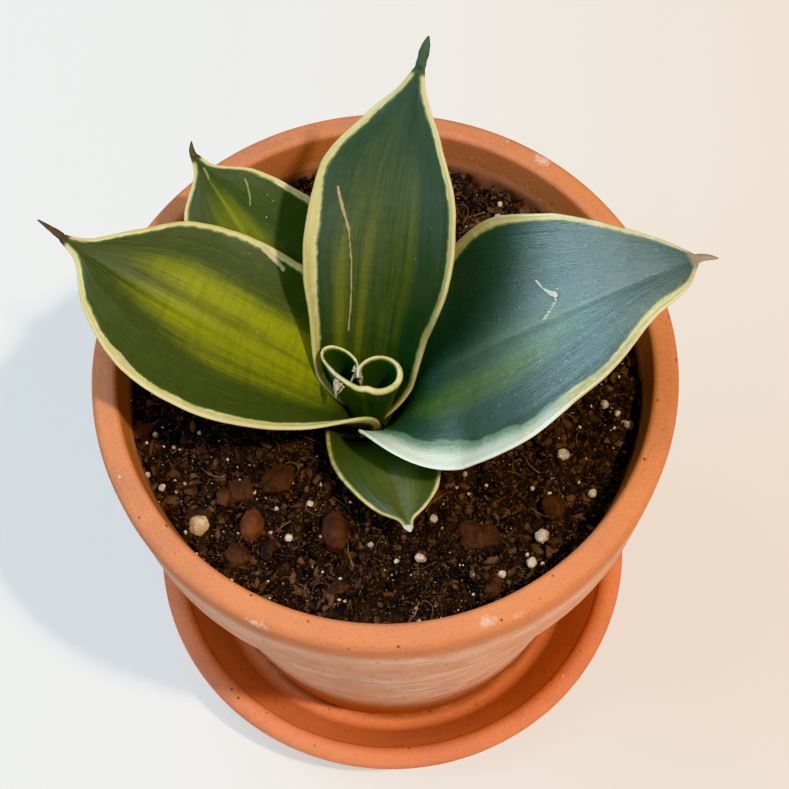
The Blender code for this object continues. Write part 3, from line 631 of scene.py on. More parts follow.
def pot_chalk_and_painted_lift(x, y, z):
    """Where mineral lines show: on the collar's face and the body, not on the lip or the inside; on the
    body the pale haze is partly mineral bloom and partly a painted lift of the shade under the collar.

    The test for the inside also leaves the body's outside bare from 100 to 108 mm up.
    """
    if math.hypot(x, y) < MOUTH_RADIUS - 3.0 * MM and z > 0.1:
        return 0.0
    collar = smooth_step(z, COLLAR_LOW + 4 * MM, COLLAR_LOW + 16 * MM)
    collar *= 1.0 - smooth_step(z, RIM_WIDE - 12 * MM, RIM_WIDE - 3 * MM)
    # The body's share is partly a painted lift of the shade under the collar.
    body = 0.8 * smooth_step(z, 0.005, 0.05) * (1.0 - smooth_step(z, COLLAR_LOW, COLLAR_LOW + MM))
    return max(collar, body, 0.7 * smooth_step(z, COLLAR_LOW - 2 * MM, COLLAR_LOW + 3 * MM)
               * (1.0 - smooth_step(z, RIM_WIDE - 12 * MM, RIM_WIDE - 3 * MM)))


# Chalky patches on the rim: compass angle, height below the top and reach, in mm.
BLOOMS = ((53, 1.0, 3.4), (56, 4.5, 2.0), (-117, 3.0, 4.2), (-108, 4.0, 2.6), (-72, 0.6, 3.0),
          (-66, 2.0, 2.4), (-88, 6.5, 2.6), (12, 2.5, 1.6), (160, 1.5, 2.0), (-150, 3.0, 1.8))


def pot_bloom(x, y, z):
    best = 0.0
    for angle, drop, reach in BLOOMS:
        angle = math.radians(angle)
        away = Vector((x - RIM_RADIUS * 0.97 * math.cos(angle),
                       y - RIM_RADIUS * 0.97 * math.sin(angle), (z - RIM_TOP + drop * MM) * 2.0))
        best = max(best, 1.0 - away.length / (reach * MM * 2.0))
    return max(0.0, best)


def pot_soiled(x, y, z):
    """Soil stains on the inner wall just over the soil."""
    if math.hypot(x, y) > inside_radius(z) + 0.6 * MM:
        return 0.0
    return 1.0 - smooth_step(z, SOIL_TOP, SOIL_TOP + 5 * MM)


def saucer_foot_shade(x, y, z):
    """A painted shade: a dark ring on the saucer floor round the pot's foot, where the pot meets it."""
    if z > SAUCER_FLOOR + 2 * MM or z < SAUCER_FLOOR - MM:
        return 0.0
    reach = math.hypot(x, y)
    return 0.8 * smooth_step(reach, 0.044, 0.049) * (1.0 - smooth_step(reach, 0.0505, 0.0535))


def build_pot():
    surface = clay_material("terracotta", (0.56, 0.200, 0.078), (0.45, 0.170, 0.088), 1.15)
    rules = {"chalk_and_painted_lift": pot_chalk_and_painted_lift, "bloom": pot_bloom, "soil_stain_and_foot_shade": pot_soiled}
    profile = subdivided(pot_profile(), 1.6 * MM)
    pot = turned("clay_pot", profile, surface, 220, 0.14 * MM, rules)
    hand_over(pot, "terracotta", "pot")


def build_saucer():
    surface = clay_material("terracotta_saucer", (0.60, 0.198, 0.084), (0.50, 0.165, 0.085), 0.0)
    rules = {"chalk_and_painted_lift": lambda x, y, z: 0.0, "bloom": lambda x, y, z: 0.0, "soil_stain_and_foot_shade": saucer_foot_shade}
    profile = subdivided(saucer_profile(), 1.4 * MM)
    saucer = turned("clay_saucer", profile, surface, 200, 0.12 * MM, rules)
    hand_over(saucer, "terracotta_saucer", "saucer")


# ---- soil ---------------------------------------------------------------------------------

def soil_height(x, y):
    """Top of the soil: gentle ripples, with a dip round the crown."""
    ripple = math.sin(x * 105 + 0.6) * math.cos(y * 88 - 0.4)
    ripple += 0.6 * math.sin(x * 190 - y * 150 + 1.1)
    level = SOIL_TOP + SOIL_RIPPLE * 0.5 * ripple
    reach = math.hypot(x - CROWN_X, y - CROWN_Y)
    blend = smooth_step(reach, HOLLOW_RADIUS, HOLLOW_RIM)
    bottom = CROWN_TOP - 0.1 * MM
    return bottom + (level - bottom) * blend


def soil_relief(x, y):
    """Lumps and pits of the loose mix, over the gentle top."""
    lumps = wander(x * 130, y * 130, 3.7, 4)
    fine = wander(x * 420, y * 420, 8.1, 3)
    pits = smooth_step(wander(x * 95, y * 95, 12.0, 3), 0.05, 0.55)
    return (1.6 * lumps + 1.1 * fine - 2.6 * pits) * MM


def inside_radius(height):
    low = POT_FOOT + POT_FLOOR
    return WELL_RADIUS + (MOUTH_RADIUS - WELL_RADIUS) * (height - low) / (RIM_TOP - low)


def build_soil():
    surface = earth_material("soil", (0.0035, 0.0022, 0.0015), (0.038, 0.022, 0.015), 900.0)
    wall = inside_radius(SOIL_TOP - 2.2 * MM) - 0.25 * MM
    low = POT_FOOT + POT_FLOOR + 0.4 * MM
    steps = 620
    points = [(0.0, 0.0, low)]
    for step in range(steps):
        angle = TAU * step / steps
        points.append(((WELL_RADIUS - 2 * MM) * math.cos(angle),
                       (WELL_RADIUS - 2 * MM) * math.sin(angle), low))
    shares = [1.0] + [0.995 - 0.975 * index / 119 for index in range(120)]
    for share in shares:
        for step in range(steps):
            angle = TAU * step / steps
            x = wall * share * math.cos(angle)
            y = wall * share * math.sin(angle)
            drop = 2.2 * MM if share == 1.0 else 0.0
            relief = 0.0 if share == 1.0 else soil_relief(x, y)
            points.append((x, y, soil_height(x, y) + relief - drop))
    points.append((0.0, 0.0, soil_height(0.0, 0.0)))
    faces = grid_faces(len(shares) + 1, steps, closed=True, first=1)
    top = len(points) - 1
    ring = 1 + len(shares) * steps
    for step in range(steps):
        beside = (step + 1) % steps
        faces.append((0, 1 + beside, 1 + step))
        faces.append((top, ring + step, ring + beside))
    tone = [0.4 + 0.5 * wander(x * 210, y * 210, 5.0, 2) for x, y, _ in points]
    soil = make_piece("soil_bed", points, faces, surface, 80, {"tone": tone})
    hand_over(soil, "soil", "soil")


def chip_shape(chance, detail, flats, rough):
    """Points and faces of one unit lump: a ball cut by random flats, then roughened."""
    shape = bmesh.new()
    bmesh.ops.create_icosphere(shape, subdivisions=detail, radius=1.0)
    planes = []
    for _ in range(flats):
        direction = Vector([chance.gauss(0, 1) for _ in range(3)]).normalized()
        planes.append((direction, chance.uniform(0.55, 0.88)))
    offset = chance.uniform(0, 50)
    hard = 0.92 if flats > 4 else 0.50
    for corner in shape.verts:
        for direction, reach in planes:
            over = corner.co.dot(direction) - reach
            if over > 0:
                corner.co -= direction * over * hard
        spot = corner.co * 2.2 + Vector((offset,) * 3)
        corner.co *= 1.0 + rough * (wander(*spot) + 0.5 * wander(*(spot * 3.0)))
    points = np.array([corner.co for corner in shape.verts])
    faces = [[corner.index for corner in face.verts] for face in shape.faces]
    shape.free()
    return points, faces


def scatter(name, surface, shapes, spots, tones):
    """One piece made of many small lumps; a spot is (place, half-sizes, rotation)."""
    points = []
    faces = []
    tone = []
    chance = random.Random(name)
    for index, (place, half, turn) in enumerate(spots):
        base, base_faces = shapes[chance.randrange(len(shapes))]
        matrix = np.array(Euler(turn).to_matrix())
        first = len(points)
        points.extend(((base * half) @ matrix.T + place).tolist())
        faces.extend([[first + corner for corner in face] for face in base_faces])
        tone.extend([tones[index]] * len(base))
    return make_piece(name, points, faces, surface, 50, {"tone": tone})


def soil_spot(chance, margin):
    """A random place on the soil, clear of the leaves' feet."""
    while True:
        reach = (69.2 * MM - margin) * math.sqrt(chance.random())
        angle = TAU * chance.random()
        x = reach * math.cos(angle)
        y = reach * math.sin(angle)
        if math.hypot(x - CROWN_X, y - CROWN_Y) > 15.0 * MM:
            return x, y


def scatter_lumps(name, slot, surface, count, sizes, flatness, length, seed, detail=1):
    """Seeded lumps lying on the soil. flatness and length shape each one."""
    chance = random.Random(seed)
    shapes = [chip_shape(chance, detail, 5, 0.22) for _ in range(7)]
    spots = []
    tones = []
    for _ in range(count):
        size = MM * (sizes[0] + (sizes[1] - sizes[0]) * chance.random() ** 2.2)
        x, y = soil_spot(chance, size * 1.2)
        stretch = chance.uniform(1.0, length)
        half = (size * stretch, size, size * chance.uniform(flatness, 1.0))
        z = soil_height(x, y) + soil_relief(x, y) + half[2] * chance.uniform(-0.25, 0.55)
        tilt = 0.5 if length > 1.5 else 3.0
        turn = (chance.uniform(-tilt, tilt), chance.uniform(-tilt, tilt), chance.uniform(0, TAU))
        spots.append(((x, y, z), half, turn))
        tones.append(chance.random())
    hand_over(scatter(name, surface, shapes, spots, tones), slot)


def build_fibres():
    """Thin roots and coir threads lying on the soil, each a tapered curved tube."""
    chance = random.Random(77)
    surface = bark_material("fibre", (0.070, 0.040, 0.022), (0.25, 0.155, 0.085))
    sides = 4
    points = []
    faces = []
    tones = []
    for _ in range(150):
        x, y = soil_spot(chance, 8 * MM)
        heading = chance.uniform(0, TAU)
        bend = chance.uniform(-0.5, 0.5)
        steps = chance.randrange(7, 15)
        radius = MM * chance.uniform(0.07, 0.20)
        lift = chance.uniform(0.3, 1.3) * MM
        tone = chance.random()
        first = len(points)
        for step in range(steps):
            share = step / (steps - 1)
            x += 0.75 * MM * math.cos(heading)
            y += 0.75 * MM * math.sin(heading)
            heading += bend * 0.6 + chance.uniform(-0.25, 0.25)
            z = soil_height(x, y) + 0.6 * MM + lift * math.sin(math.pi * share)
            size = radius * (1.0 - 0.75 * share)
            aside = Vector((-math.sin(heading), math.cos(heading), 0.0))
            for side in range(sides):
                angle = TAU * side / sides
                offset = aside * math.cos(angle) * size
                points.append((x + offset.x, y + offset.y, z + size * math.sin(angle)))
                tones.append(tone)
        faces += grid_faces(steps, sides, closed=True, first=first)
        faces.append([first + side for side in range(sides)])
        faces.append([first + (steps - 1) * sides + side for side in range(sides)])
    hand_over(make_piece("soil_fibres", points, faces, surface, 80, {"tone": tones}), "bark")


def build_litter():
    """Everything loose on the soil that the model doesn't hold as pieces of its own."""
    crumb = earth_material("crumb", (0.004, 0.0026, 0.0018), (0.140, 0.074, 0.045), 1500.0)
    chip = bark_material("bark_litter", (0.014, 0.006, 0.0035), (0.082, 0.034, 0.017))
    grain = perlite_material("perlite_grain")
    quick = 1.0
    scatter_lumps("soil_crumbs", "soil", crumb, int(4200 * quick), (0.25, 1.2), 0.5, 2.4, 11)
    scatter_lumps("soil_crumbs_fine", "soil", crumb, int(24000 * quick), (0.11, 0.42), 0.4, 2.8, 12)
    scatter_lumps("bark_slivers", "bark", chip, int(900 * quick), (0.22, 0.75), 0.30, 6.0, 13, 2)
    scatter_lumps("bark_flakes", "bark", chip, int(70 * quick), (1.0, 3.2), 0.30, 1.7, 14, 3)
    scatter_lumps("perlite_grains", "perlite", grain, int(330 * quick), (0.28, 0.90), 0.8, 1.25, 15, 2)
    scatter_lumps("perlite_dust", "perlite", grain, int(1100 * quick), (0.10, 0.30), 0.8, 1.2, 16)
    build_fibres()


def build_lump(name, at, half, turn, flats, sunk, surface, slot, seed, rough):
    chance = random.Random(seed)
    points, faces = chip_shape(chance, 4, flats, rough)
    x, y = at
    middle = Vector((x, y, soil_height(x, y) + half[2] * (1.0 - 2.0 * sunk) + 0.4 * MM))
    matrix = np.array(Matrix.Rotation(math.radians(turn), 3, "Z"))
    points = (points * half) @ matrix.T + middle
    tone = [0.5] * len(points)
    piece = make_piece(name + "_fine", points.tolist(), faces, surface, 60, {"tone": tone})
    hand_over(piece, slot, name)


def build_lumps():
    finishes = {
        "pebble_cream": (stone_material("pebble_cream_finish", (0.38, 0.24, 0.12),
                                        (0.60, 0.44, 0.26), 0.85), "cream_stone"),
        "stone_red_brown": (stone_material("stone_red_finish", (0.080, 0.029, 0.015),
                                           (0.150, 0.056, 0.029), 0.9), "brown_stone"),
        "stone_brown": (stone_material("stone_brown_finish", (0.040, 0.017, 0.011),
                                       (0.082, 0.035, 0.022), 0.8), "brown_stone"),
    }
    bark = (bark_material("bark", (0.018, 0.0075, 0.004), (0.072, 0.027, 0.013)), "bark")
    for seed, (name, spec) in enumerate(LUMPS.items()):
        surface, slot = finishes.get(name, bark)
        half = np.array(spec["half"]) * MM
        at = [value * MM for value in spec["at"]]
        rough = 0.10 if name in finishes else 0.24
        build_lump(name, at, half, spec["turn"], spec["flats"], 0.42, surface, slot, seed, rough)


def build_perlite():
    surface = perlite_material("perlite")
    for index, (x, y, radius) in enumerate(PERLITE):
        half = np.array((radius, radius * 0.9, radius * 0.8)) * 0.88 * MM
        name = "perlite_{:02d}".format(index + 1)
        build_lump(name, (x * MM, y * MM), half, 37 * index, 2, 0.38, surface, "perlite",
                   40 + index, 0.16)


# ---- leaves -------------------------------------------------------------------------------

def leaf_frames(leaf):
    """Along the midrib: share, point, direction, side and upper normal, for each row."""
    heading = math.radians(leaf["heading"])
    reach = leaf["reach"] * MM
    point = Vector((CROWN_X + reach * math.cos(heading), CROWN_Y + reach * math.sin(heading),
                    LEAF_FOOT))
    stride = leaf["length"] * MM / LEAF_ROWS
    frames = []
    for step in range(LEAF_ROWS + 1):
        share = step / LEAF_ROWS
        turn = heading + math.radians(leaf["sweep"] * share)
        climb = math.radians(smooth_value(share, LIFT_AT, leaf["lift"]))
        along = Vector((math.cos(climb) * math.cos(turn), math.cos(climb) * math.sin(turn),
                        math.sin(climb)))
        above = Vector((-math.sin(climb) * math.cos(turn), -math.sin(climb) * math.sin(turn),
                        math.cos(climb)))
        lean = math.radians(leaf["lean"][0] * share + leaf["lean"][1] * share**2)
        side = along.cross(above)
        normal = above * math.cos(lean) + side * math.sin(lean)
        side = side * math.cos(lean) - above * math.sin(lean)
        frames.append((share, point.copy(), along, side, normal))
        point += along * stride
    return frames


def band_glow(leaf, share, place):
    """How bright the yellow-green is, from the leaf's bands."""
    total = 0.0
    for start_place, end_place, width, start, end, strength in leaf["bands"]:
        run = (share - start) / (end - start)
        centre = start_place + (end_place - start_place) * run
        window = smooth_step(run, -0.05, 0.25) * (1.0 - smooth_step(run, 0.70, 1.12))
        away = (place - centre) / width
        total += strength * window * math.exp(-away * away)
    return min(total, 1.25)


def mark_dryness(leaf, share, place, half_width):
    """Nearness to the leaf's dry scars, from 0 to 1 at their middle."""
    best = 0.0
    length = leaf["length"]
    spot = Vector((share * length, place * half_width))
    for *line, thickness in leaf["marks"]:
        corners = [Vector((a * length, b * half_width)) for a, b in line]
        for start, end in zip(corners, corners[1:]):
            run = end - start
            t = min(1.0, max(0.0, (spot - start).dot(run) / run.length_squared))
            away = (spot - start - run * t).length
            best = max(best, 1.0 - 0.5 * away / thickness)
    return best


def leaf_row(leaf, frame_row, columns):
    """One row's middle surface: points, outward normals, half thickness and stored numbers."""
    share, point, _, side, normal = frame_row
    seed = leaf["seed"] * 9.7
    run_mm = share * leaf["length"]
    curl = smooth_value(share, LIFT_AT, leaf["curl"])
    middle = smooth_value(share, LIFT_AT, LEAF_MIDDLE)
    free = smooth_step(share, 0.12, 0.4)
    widths = {}
    creams = {}
    for key, sign in (("left", -1), ("right", 1)):
        ragged = 0.28 * wander(run_mm * 0.11, seed, sign, 3) * free
        widths[key] = smooth_value(share, WIDTH_AT, leaf[key]) + ragged
        creams[key] = smooth_value(share, WIDTH_AT, leaf["cream_" + key])
        creams[key] *= 1.0 + 0.30 * wander(run_mm * 0.09, seed + 4.0, sign, 3)
    row = []
    for place in columns:
        key = "left" if place < 0 else "right"
        sign = -1.0 if place < 0 else 1.0
        half = widths[key]
        width = half * abs(place)
        tilt = math.radians(curl) * width
        bend = width / tilt if tilt > 1e-6 else 0.0
        across = sign * bend * math.sin(tilt)
        up = bend * (1.0 - math.cos(tilt))
        crease = -0.40 * math.exp(-(width / 1.5) ** 2) * smooth_step(share, 0.3, 0.6)
        bulge = 0.55 * math.sin(math.pi * abs(place)) ** 2 * free * (1.0 - smooth_step(share, 0.8, 1.0))
        ridges = 0.07 * wander(place * SKIN_SPAN * 0.45, run_mm * 0.012, seed, 3)
        flutter = 0.45 * place**4 * free * wander(run_mm * 0.055, sign * 3.0, seed, 2)
        lift = crease + bulge + ridges + flutter
        out = normal * math.cos(sign * tilt) - side * math.sin(sign * tilt)
        spot = point + (side * across + normal * up + out * lift) * MM
        thick = middle * (1.0 - (1.0 - LEAF_EDGE) * place * place)
        edge = half - width
        values = {
            "across": place * SKIN_SPAN + seed * 3.0,
            "along": run_mm,
            "glow": band_glow(leaf, share, place),
            "cream": creams[key] - edge,
            "milk": smooth_step(creams[key], 3.6, 5.2),
            "mint": smooth_step(edge, 0.25 * creams[key], 0.95 * creams[key]),
            "rim": ((1.0 - smooth_step(edge, 0.15, 0.75)) * smooth_step(creams[key], 0.0, 0.4)
                    * (1.0 - smooth_step(creams[key], 3.0, 4.4))),
            "dry": mark_dryness(leaf, share, place, half),
            "tip": smooth_step(share, 0.965, 1.01),
        }
        row.append((spot, out, thick / 2, side * math.cos(tilt) * sign + normal * math.sin(tilt), values))
    return row


def spine_rows(leaf, frame_row, columns, count=16):
    """The dry point past the blade, narrowing and turning to its own direction."""
    length, heading, climb = leaf["spine"]
    _, point, along, side, _ = frame_row
    heading = math.radians(heading)
    climb = math.radians(climb)
    aim = Vector((math.cos(climb) * math.cos(heading), math.cos(climb) * math.sin(heading),
                  math.sin(climb)))
    tip_half = leaf["left"][-1]
    thick = LEAF_MIDDLE[-1]
    rows = []
    for index in range(1, count + 1):
        run = index / count
        direction = along.lerp(aim, min(1.0, run * 1.5)).normalized()
        point = point + direction * (length * MM / count)
        across = (side - direction * side.dot(direction)).normalized()
        above = across.cross(direction)
        size = 1.0 - 0.82 * run**1.4
        if leaf["seed"] == 1:  # the centre leaf's point stays thick almost to its end
            size = 1.0 + 0.10 * math.sin(math.pi * run) - 0.85 * run**4
        size *= 1.0 + 0.12 * wander(run * 5.0, leaf["seed"], 0.0, 2)
        row = []
        for place in columns:
            spot = point + across * (tip_half * place * size * MM)
            values = {
                "across": place * SKIN_SPAN + leaf["seed"] * 29.1, "along": leaf["length"] + run * length,
                "glow": 0.0, "cream": -2.0, "milk": 0.0, "mint": 0.0, "rim": 0.0,
                "dry": 0.0, "tip": 1.0,
            }
            half = thick * size * (0.5 - 0.28 * place * place)
            row.append((spot, above, half, across * (1 if place >= 0 else -1), values))
        rows.append(row)
    return rows


def build_leaf(name, leaf):
    """A closed blade: upper side, rounded margins, lower side, capped foot and tip."""
    count = 62 if max(leaf["left"]) > 20 else 40
    columns = [math.sin(math.pi / 2 * (index / count)) for index in range(-count, count + 1)]
    columns = [0.45 * c + 0.55 * index / count for c, index in zip(columns, range(-count, count + 1))]
    frames = leaf_frames(leaf)
    rows = [leaf_row(leaf, row, columns) for row in frames]
    rows += spine_rows(leaf, frames[-1], columns)
    points = []
    stored = {key: [] for key in rows[0][0][4]}
    stored["under"] = []

    def keep(spot, values, under):
        points.append(spot)
        for key, value in values.items():
            stored[key].append(value)
        stored["under"].append(under)

    def keep_margin(side, tilts):
        spot, out, half, edge, values = side
        for tilt in tilts:
            a = math.radians(tilt)
            keep(spot + (edge * math.cos(a) + out * math.sin(a)) * half * MM, values, 0.5)

    for row in rows:
        for spot, out, half, _, values in row:
            keep(spot + out * half * MM, values, 0.0)
        keep_margin(row[-1], MARGIN_TILTS)
        for spot, out, half, _, values in reversed(row):
            keep(spot - out * half * MM, values, 1.0)
        keep_margin(row[0], reversed(MARGIN_TILTS))
    around = len(points) // len(rows)
    faces = grid_faces(len(rows), around, closed=True)
    for first in (0, (len(rows) - 1) * around):
        faces.append([first + index for index in range(around)])
    surface = leaf_material(name + "_skin", leaf["dark"], leaf["bright"], leaf["skin"],
                            leaf["tip"], leaf["scar"])
    blade = make_piece(name + "_blade", points, faces, surface, 70, stored)
    hand_over(blade, "leaf", name)


# ---- the young rolled leaf ----------------------------------------------------------------

def roll_plan(steps=170):
    """The rolled leaf's rim in plan, in millimetres about the crown: a spiral, then a loop.

    Each point comes with the wall's half thickness there: the spiral's front is the thickest.
    """
    corners = []
    for step in range(15):
        angle = 188 - 313 * step / 14
        front = smooth_step(75 - angle, 0, 100)
        corners.append((2.9 + 5.5 * math.cos(math.radians(angle)),
                        -1.6 + 4.9 * math.sin(math.radians(angle)), 0.40 + 0.46 * front))
    corners += [(-2.9, -5.2, 0.78), (-6.3, -2.8, 0.62), (-9.6, 0.6, 0.50), (-11.5, 3.5, 0.45),
                (-11.3, 5.9, 0.45), (-9.2, 6.8, 0.45), (-6.2, 5.9, 0.42), (-3.8, 3.9, 0.40),
                (-2.6, 1.6, 0.36), (-2.7, -0.4, 0.30)]
    corners = [Vector(corner) for corner in corners]
    plan = []
    last = len(corners) - 1
    for step in range(steps + 1):
        run = last * step / steps
        index = min(int(run), last - 1)
        t = run - index
        before = corners[max(index - 1, 0)]
        start = corners[index]
        end = corners[index + 1]
        after = corners[min(index + 2, last)]
        plan.append(0.5 * ((2 * start) + (end - before) * t
                           + (2 * before - 5 * start + 4 * end - after) * t * t
                           + (3 * start - before - 3 * end + after) * t**3))
    return plan


def build_rolled_leaf():
    """A thin wall that follows the plan, narrower at the foot, with a thick pale rim."""
    plan = roll_plan()
    rows = 50
    rim_rows = 6
    points = []
    stored = {key: [] for key in ("across", "along", "glow", "cream", "milk", "mint",
                                  "rim", "dry", "tip", "under")}
    count = len(plan)
    torn_place = 0.69 * count
    for row in range(rows + 1):
        share = min(1.0, row / (rows - rim_rows))
        over = max(0, row - (rows - rim_rows)) / rim_rows
        scale = 0.52 + 0.48 * share
        down = ROLL_HEIGHT / MM * (1.0 - share)
        walls = ([], [])
        for index, corner in enumerate(plan):
            before = plan[max(index - 1, 0)].xy
            after = plan[min(index + 1, count - 1)].xy
            run = (after - before).normalized()
            aside = Vector((-run.y, run.x))
            thick = 0.38 + (corner.z - 0.38) * smooth_step(share, 0.55, 1.0)
            size = thick * math.sqrt(max(0.0, 1.0 - over**2) + 0.01)
            place = index / (count - 1)
            wave = 0.5 * wander(place * 6.0, 2.0, 0.0, 2) * smooth_step(share, 0.6, 1.0)
            nick = math.exp(-((index - torn_place) / 3.0) ** 2) * smooth_step(share, 0.8, 1.0)
            wave -= 0.5 * nick
            height = LEAF_FOOT + ROLL_HEIGHT * share + (over * thick + wave) * MM
            x, y = corner.xy * scale
            y -= 2.0 * (1.0 - share)
            for wall, sign in zip(walls, (1, -1)):
                wall.append((CROWN_X + (x + aside.x * size * sign) * MM,
                             CROWN_Y + (y + aside.y * size * sign) * MM, height))
        loop = walls[0] + walls[1][::-1]
        points += loop
        for index in range(len(loop)):
            place = index if index < count else 2 * count - 1 - index
            inner = index >= count
            stored["across"].append(place * 0.22)
            stored["along"].append(row * 0.5)
            # The outer wall's higher stripe value is partly a painted lift of the shade that falls on
            # that wall.
            stored["glow"].append(0.10 if inner else 0.50 + 0.2 * math.sin(place * 0.13))
            ring = 1.0 - smooth_step(place / count, 0.50, 0.66)
            stored["cream"].append((0.1 + 0.5 * ring if inner else 0.25) - down)
            stored["rim"].append((0.35 + 0.6 * ring) * (1.0 if down < 0.5 else 0.0))
            torn = math.exp(-((place - torn_place) / 7.0) ** 2) * math.exp(-down / 4.0)
            tissue = math.exp(-((place - 6) / 9.0) ** 2) * math.exp(-down / 5.0)
            stored["dry"].append(0.85 * max(torn if not inner else 0.0, tissue))
            for key in ("milk", "mint", "tip", "under"):
                stored[key].append(0.0)
    around = 2 * count
    faces = grid_faces(rows + 1, around, closed=True)
    for first in (0, rows * around):
        for column in range(count - 1):
            faces.append((first + column, first + column + 1,
                          first + around - 2 - column, first + around - 1 - column))
    surface = leaf_material("young_leaf_skin", (0.040, 0.072, 0.028), (0.11, 0.15, 0.045),
                            (0.42, 0.4, 1.45, 0.4), ((0.3, 0.2, 0.1), (0.5, 0.4, 0.2)),
                            ((0.36, 0.30, 0.18), (0.60, 0.56, 0.44)))
    piece = make_piece("rolled_young_leaf", points, faces, surface, 70, stored)
    hand_over(piece, "young_leaf", "leaf_rolled")


def build_torn_skin():
    """Dry shreds where the young leaf has torn: inside its ring and on its outer wall."""
    surface = bark_material("torn_skin", (0.20, 0.16, 0.085), (0.46, 0.41, 0.30))
    chance = random.Random(5)
    points = []
    faces = []
    tones = []
    # Each: start in plan (mm about the crown), drop below the rim, heading, length, width in mm.
    shreds = ((-3.4, 0.9, 0.3, -60, 3.8, 2.4), (-2.6, -0.2, 0.8, -100, 3.4, 1.8),
              (-3.9, 1.6, 1.2, -20, 3.2, 1.5), (-2.2, -0.6, 1.6, 200, 3.4, 1.6),
              (-7.2, -2.9, 0.2, -120, 4.0, 2.2), (-8.3, -1.8, 0.4, -105, 3.4, 1.5),
              (-6.1, -3.9, 0.6, -140, 3.0, 1.1), (-7.9, -2.4, 0.2, -75, 2.8, 1.2))
    steps = 9
    for x, y, drop, heading, length, width in shreds:
        first = len(points)
        turn = math.radians(heading)
        z = ROLL_HEIGHT / MM - drop
        for step in range(steps):
            share = step / (steps - 1)
            turn += chance.uniform(-0.28, 0.28)
            x += length / steps * math.cos(turn)
            y += length / steps * math.sin(turn)
            z -= length / steps * (0.15 + 1.1 * share)
            half = 0.5 * width * (1.0 - 0.8 * share) * chance.uniform(0.6, 1.2)
            for side, up in ((-1, 0.10), (0, 0.28), (1, 0.10), (1, 0.0), (0, 0.14), (-1, 0.0)):
                points.append((CROWN_X + (x - math.sin(turn) * half * side) * MM,
                               CROWN_Y + (y + math.cos(turn) * half * side) * MM,
                               LEAF_FOOT + (z + up) * MM))
                tones.append(chance.random())
        faces += grid_faces(steps, 6, closed=True, first=first)
        faces.append([first + side for side in range(6)])
        faces.append([first + (steps - 1) * 6 + side for side in range(6)])
    hand_over(make_piece("torn_skin", points, faces, surface, 80, {"tone": tones}), "young_leaf")


def build_crown():
    """The buried stub: its top hardly shows, so it keeps its node and gets a fibrous finish."""
    surface = bark_material("rhizome", (0.018, 0.022, 0.008), (0.045, 0.052, 0.018))
    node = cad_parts["crown"]
    node.data.materials.clear()
    node.data.materials.append(surface)


# ---- studio -------------------------------------------------------------------------------

def build_floor():
    half = 1.6
    points = [(-half, -half, 0.0), (half, -half, 0.0), (half, half, 0.0), (-half, half, 0.0)]
    floor = make_piece("floor", points, [(0, 1, 2, 3)], floor_material())


def aim(item, target):
    item.rotation_euler = (Vector(target) - item.location).to_track_quat("-Z", "Y").to_euler()


def add_light(name, kind, location, target, energy, colour, size=0.0):
    data = bpy.data.lights.new(name, kind)
    data.energy = energy
    data.color = colour
    if kind == "AREA":
        data.shape = "RECTANGLE"
        data.size, data.size_y = size
    else:
        data.angle = math.radians(size)
    item = bpy.data.objects.new(name, data)
    item.location = location
    bpy.context.scene.collection.objects.link(item)
    aim(item, target)


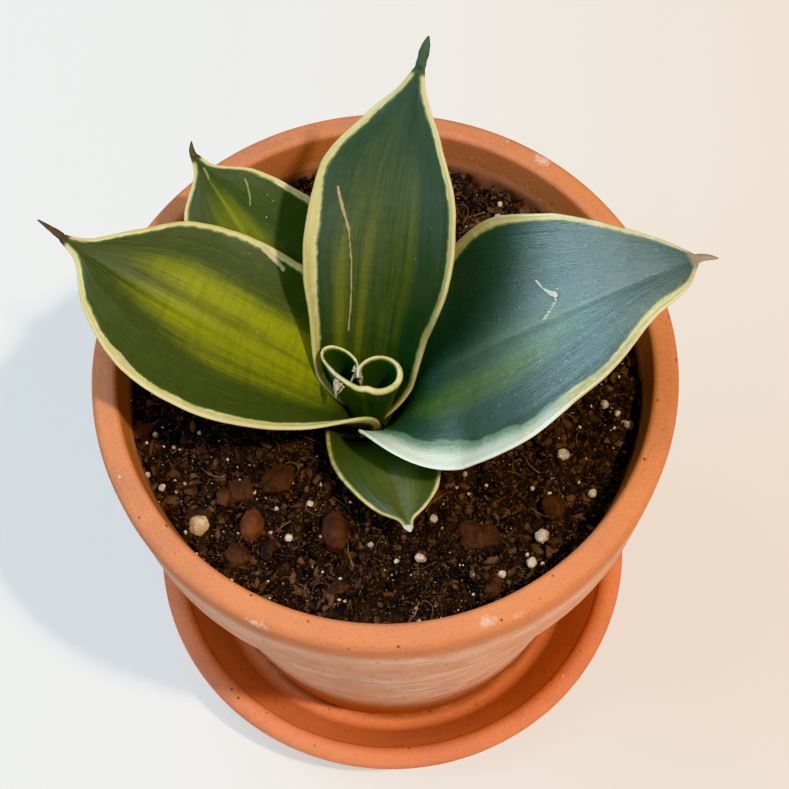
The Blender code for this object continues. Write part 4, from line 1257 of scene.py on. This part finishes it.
def build_lights():
    """A low-contrast room: a warm key from the right, a cool window behind on the left."""
    middle = (0.0, 0.0, 0.12)
    add_light("key", "SUN", (0.386, -0.261, 1.12), middle, 2.85, (1.0, 0.90, 0.76), 3.0)
    add_light("window", "AREA", (-0.72, 0.10, 1.60), middle, 23.0, (0.66, 0.84, 1.0), (1.3, 1.2))
    add_light("front", "AREA", (0.1, -1.3, 0.5), (0.0, 0.0, 0.06), 4.0, (0.92, 0.96, 1.0), (0.9, 0.7))
    add_light("bounce", "AREA", (1.1, -0.35, 0.35), (0.0, 0.0, 0.06), 2.5, (1.0, 0.60, 0.32), (0.6, 0.5))
    # Two soft panels seen only in reflections: the right leaf's blue sheen and the centre leaf's.
    add_light("high_panel", "AREA", (-0.91, 0.33, 1.29), (0.05, 0.0, 0.196), 34.0, (0.52, 0.80, 1.0),
              (1.0, 0.9))
    add_light("low_panel", "AREA", (-1.12, -0.61, 0.22), (0.0, 0.03, 0.21), 2.0, (0.66, 0.84, 1.0),
              (0.5, 0.3))
    for name in ("high_panel", "low_panel"):
        bpy.data.objects[name].visible_diffuse = False
    world = bpy.data.worlds.new("room")
    bpy.context.scene.world = world
    world.use_nodes = True
    background = world.node_tree.nodes["Background"]
    background.inputs["Color"].default_value = (0.90, 0.94, 1.0, 1.0)
    background.inputs["Strength"].default_value = 0.16
    bpy.context.scene.view_settings.view_transform = "Khronos PBR Neutral"


def build_camera():
    """High in front of the pot, looking steeply down, with a long lens."""
    back = 278.92 * MM
    height = 781.05 * MM
    pitch = math.radians(66.53)
    yaw = math.radians(-0.4735)
    roll = math.radians(-2.0433)
    across = Vector((1.0, 0.0, 0.0))
    upward = Vector((0.0, math.sin(pitch), math.cos(pitch)))
    behind = Vector((0.0, -math.cos(pitch), math.sin(pitch)))
    turn = Matrix((across, upward, behind)).transposed()
    turn = Matrix.Rotation(yaw, 3, "Z") @ turn
    turn = turn @ Matrix.Rotation(roll, 3, "Z")
    data = bpy.data.cameras.new("camera")
    data.sensor_width = 36.0
    data.lens = 118.63
    data.clip_start = 0.05
    item = bpy.data.objects.new("camera", data)
    item.matrix_world = Matrix.Translation((0.0, -back, height)) @ turn.to_4x4()
    bpy.context.scene.collection.objects.link(item)
    bpy.context.scene.camera = item


def main():
    build_camera()
    build_floor()
    build_lights()
    build_saucer()
    build_pot()
    build_soil()
    build_litter()
    build_lumps()
    build_perlite()
    build_crown()
    for name, leaf in LEAVES.items():
        build_leaf(name, leaf)
    build_rolled_leaf()
    build_torn_skin()


main()
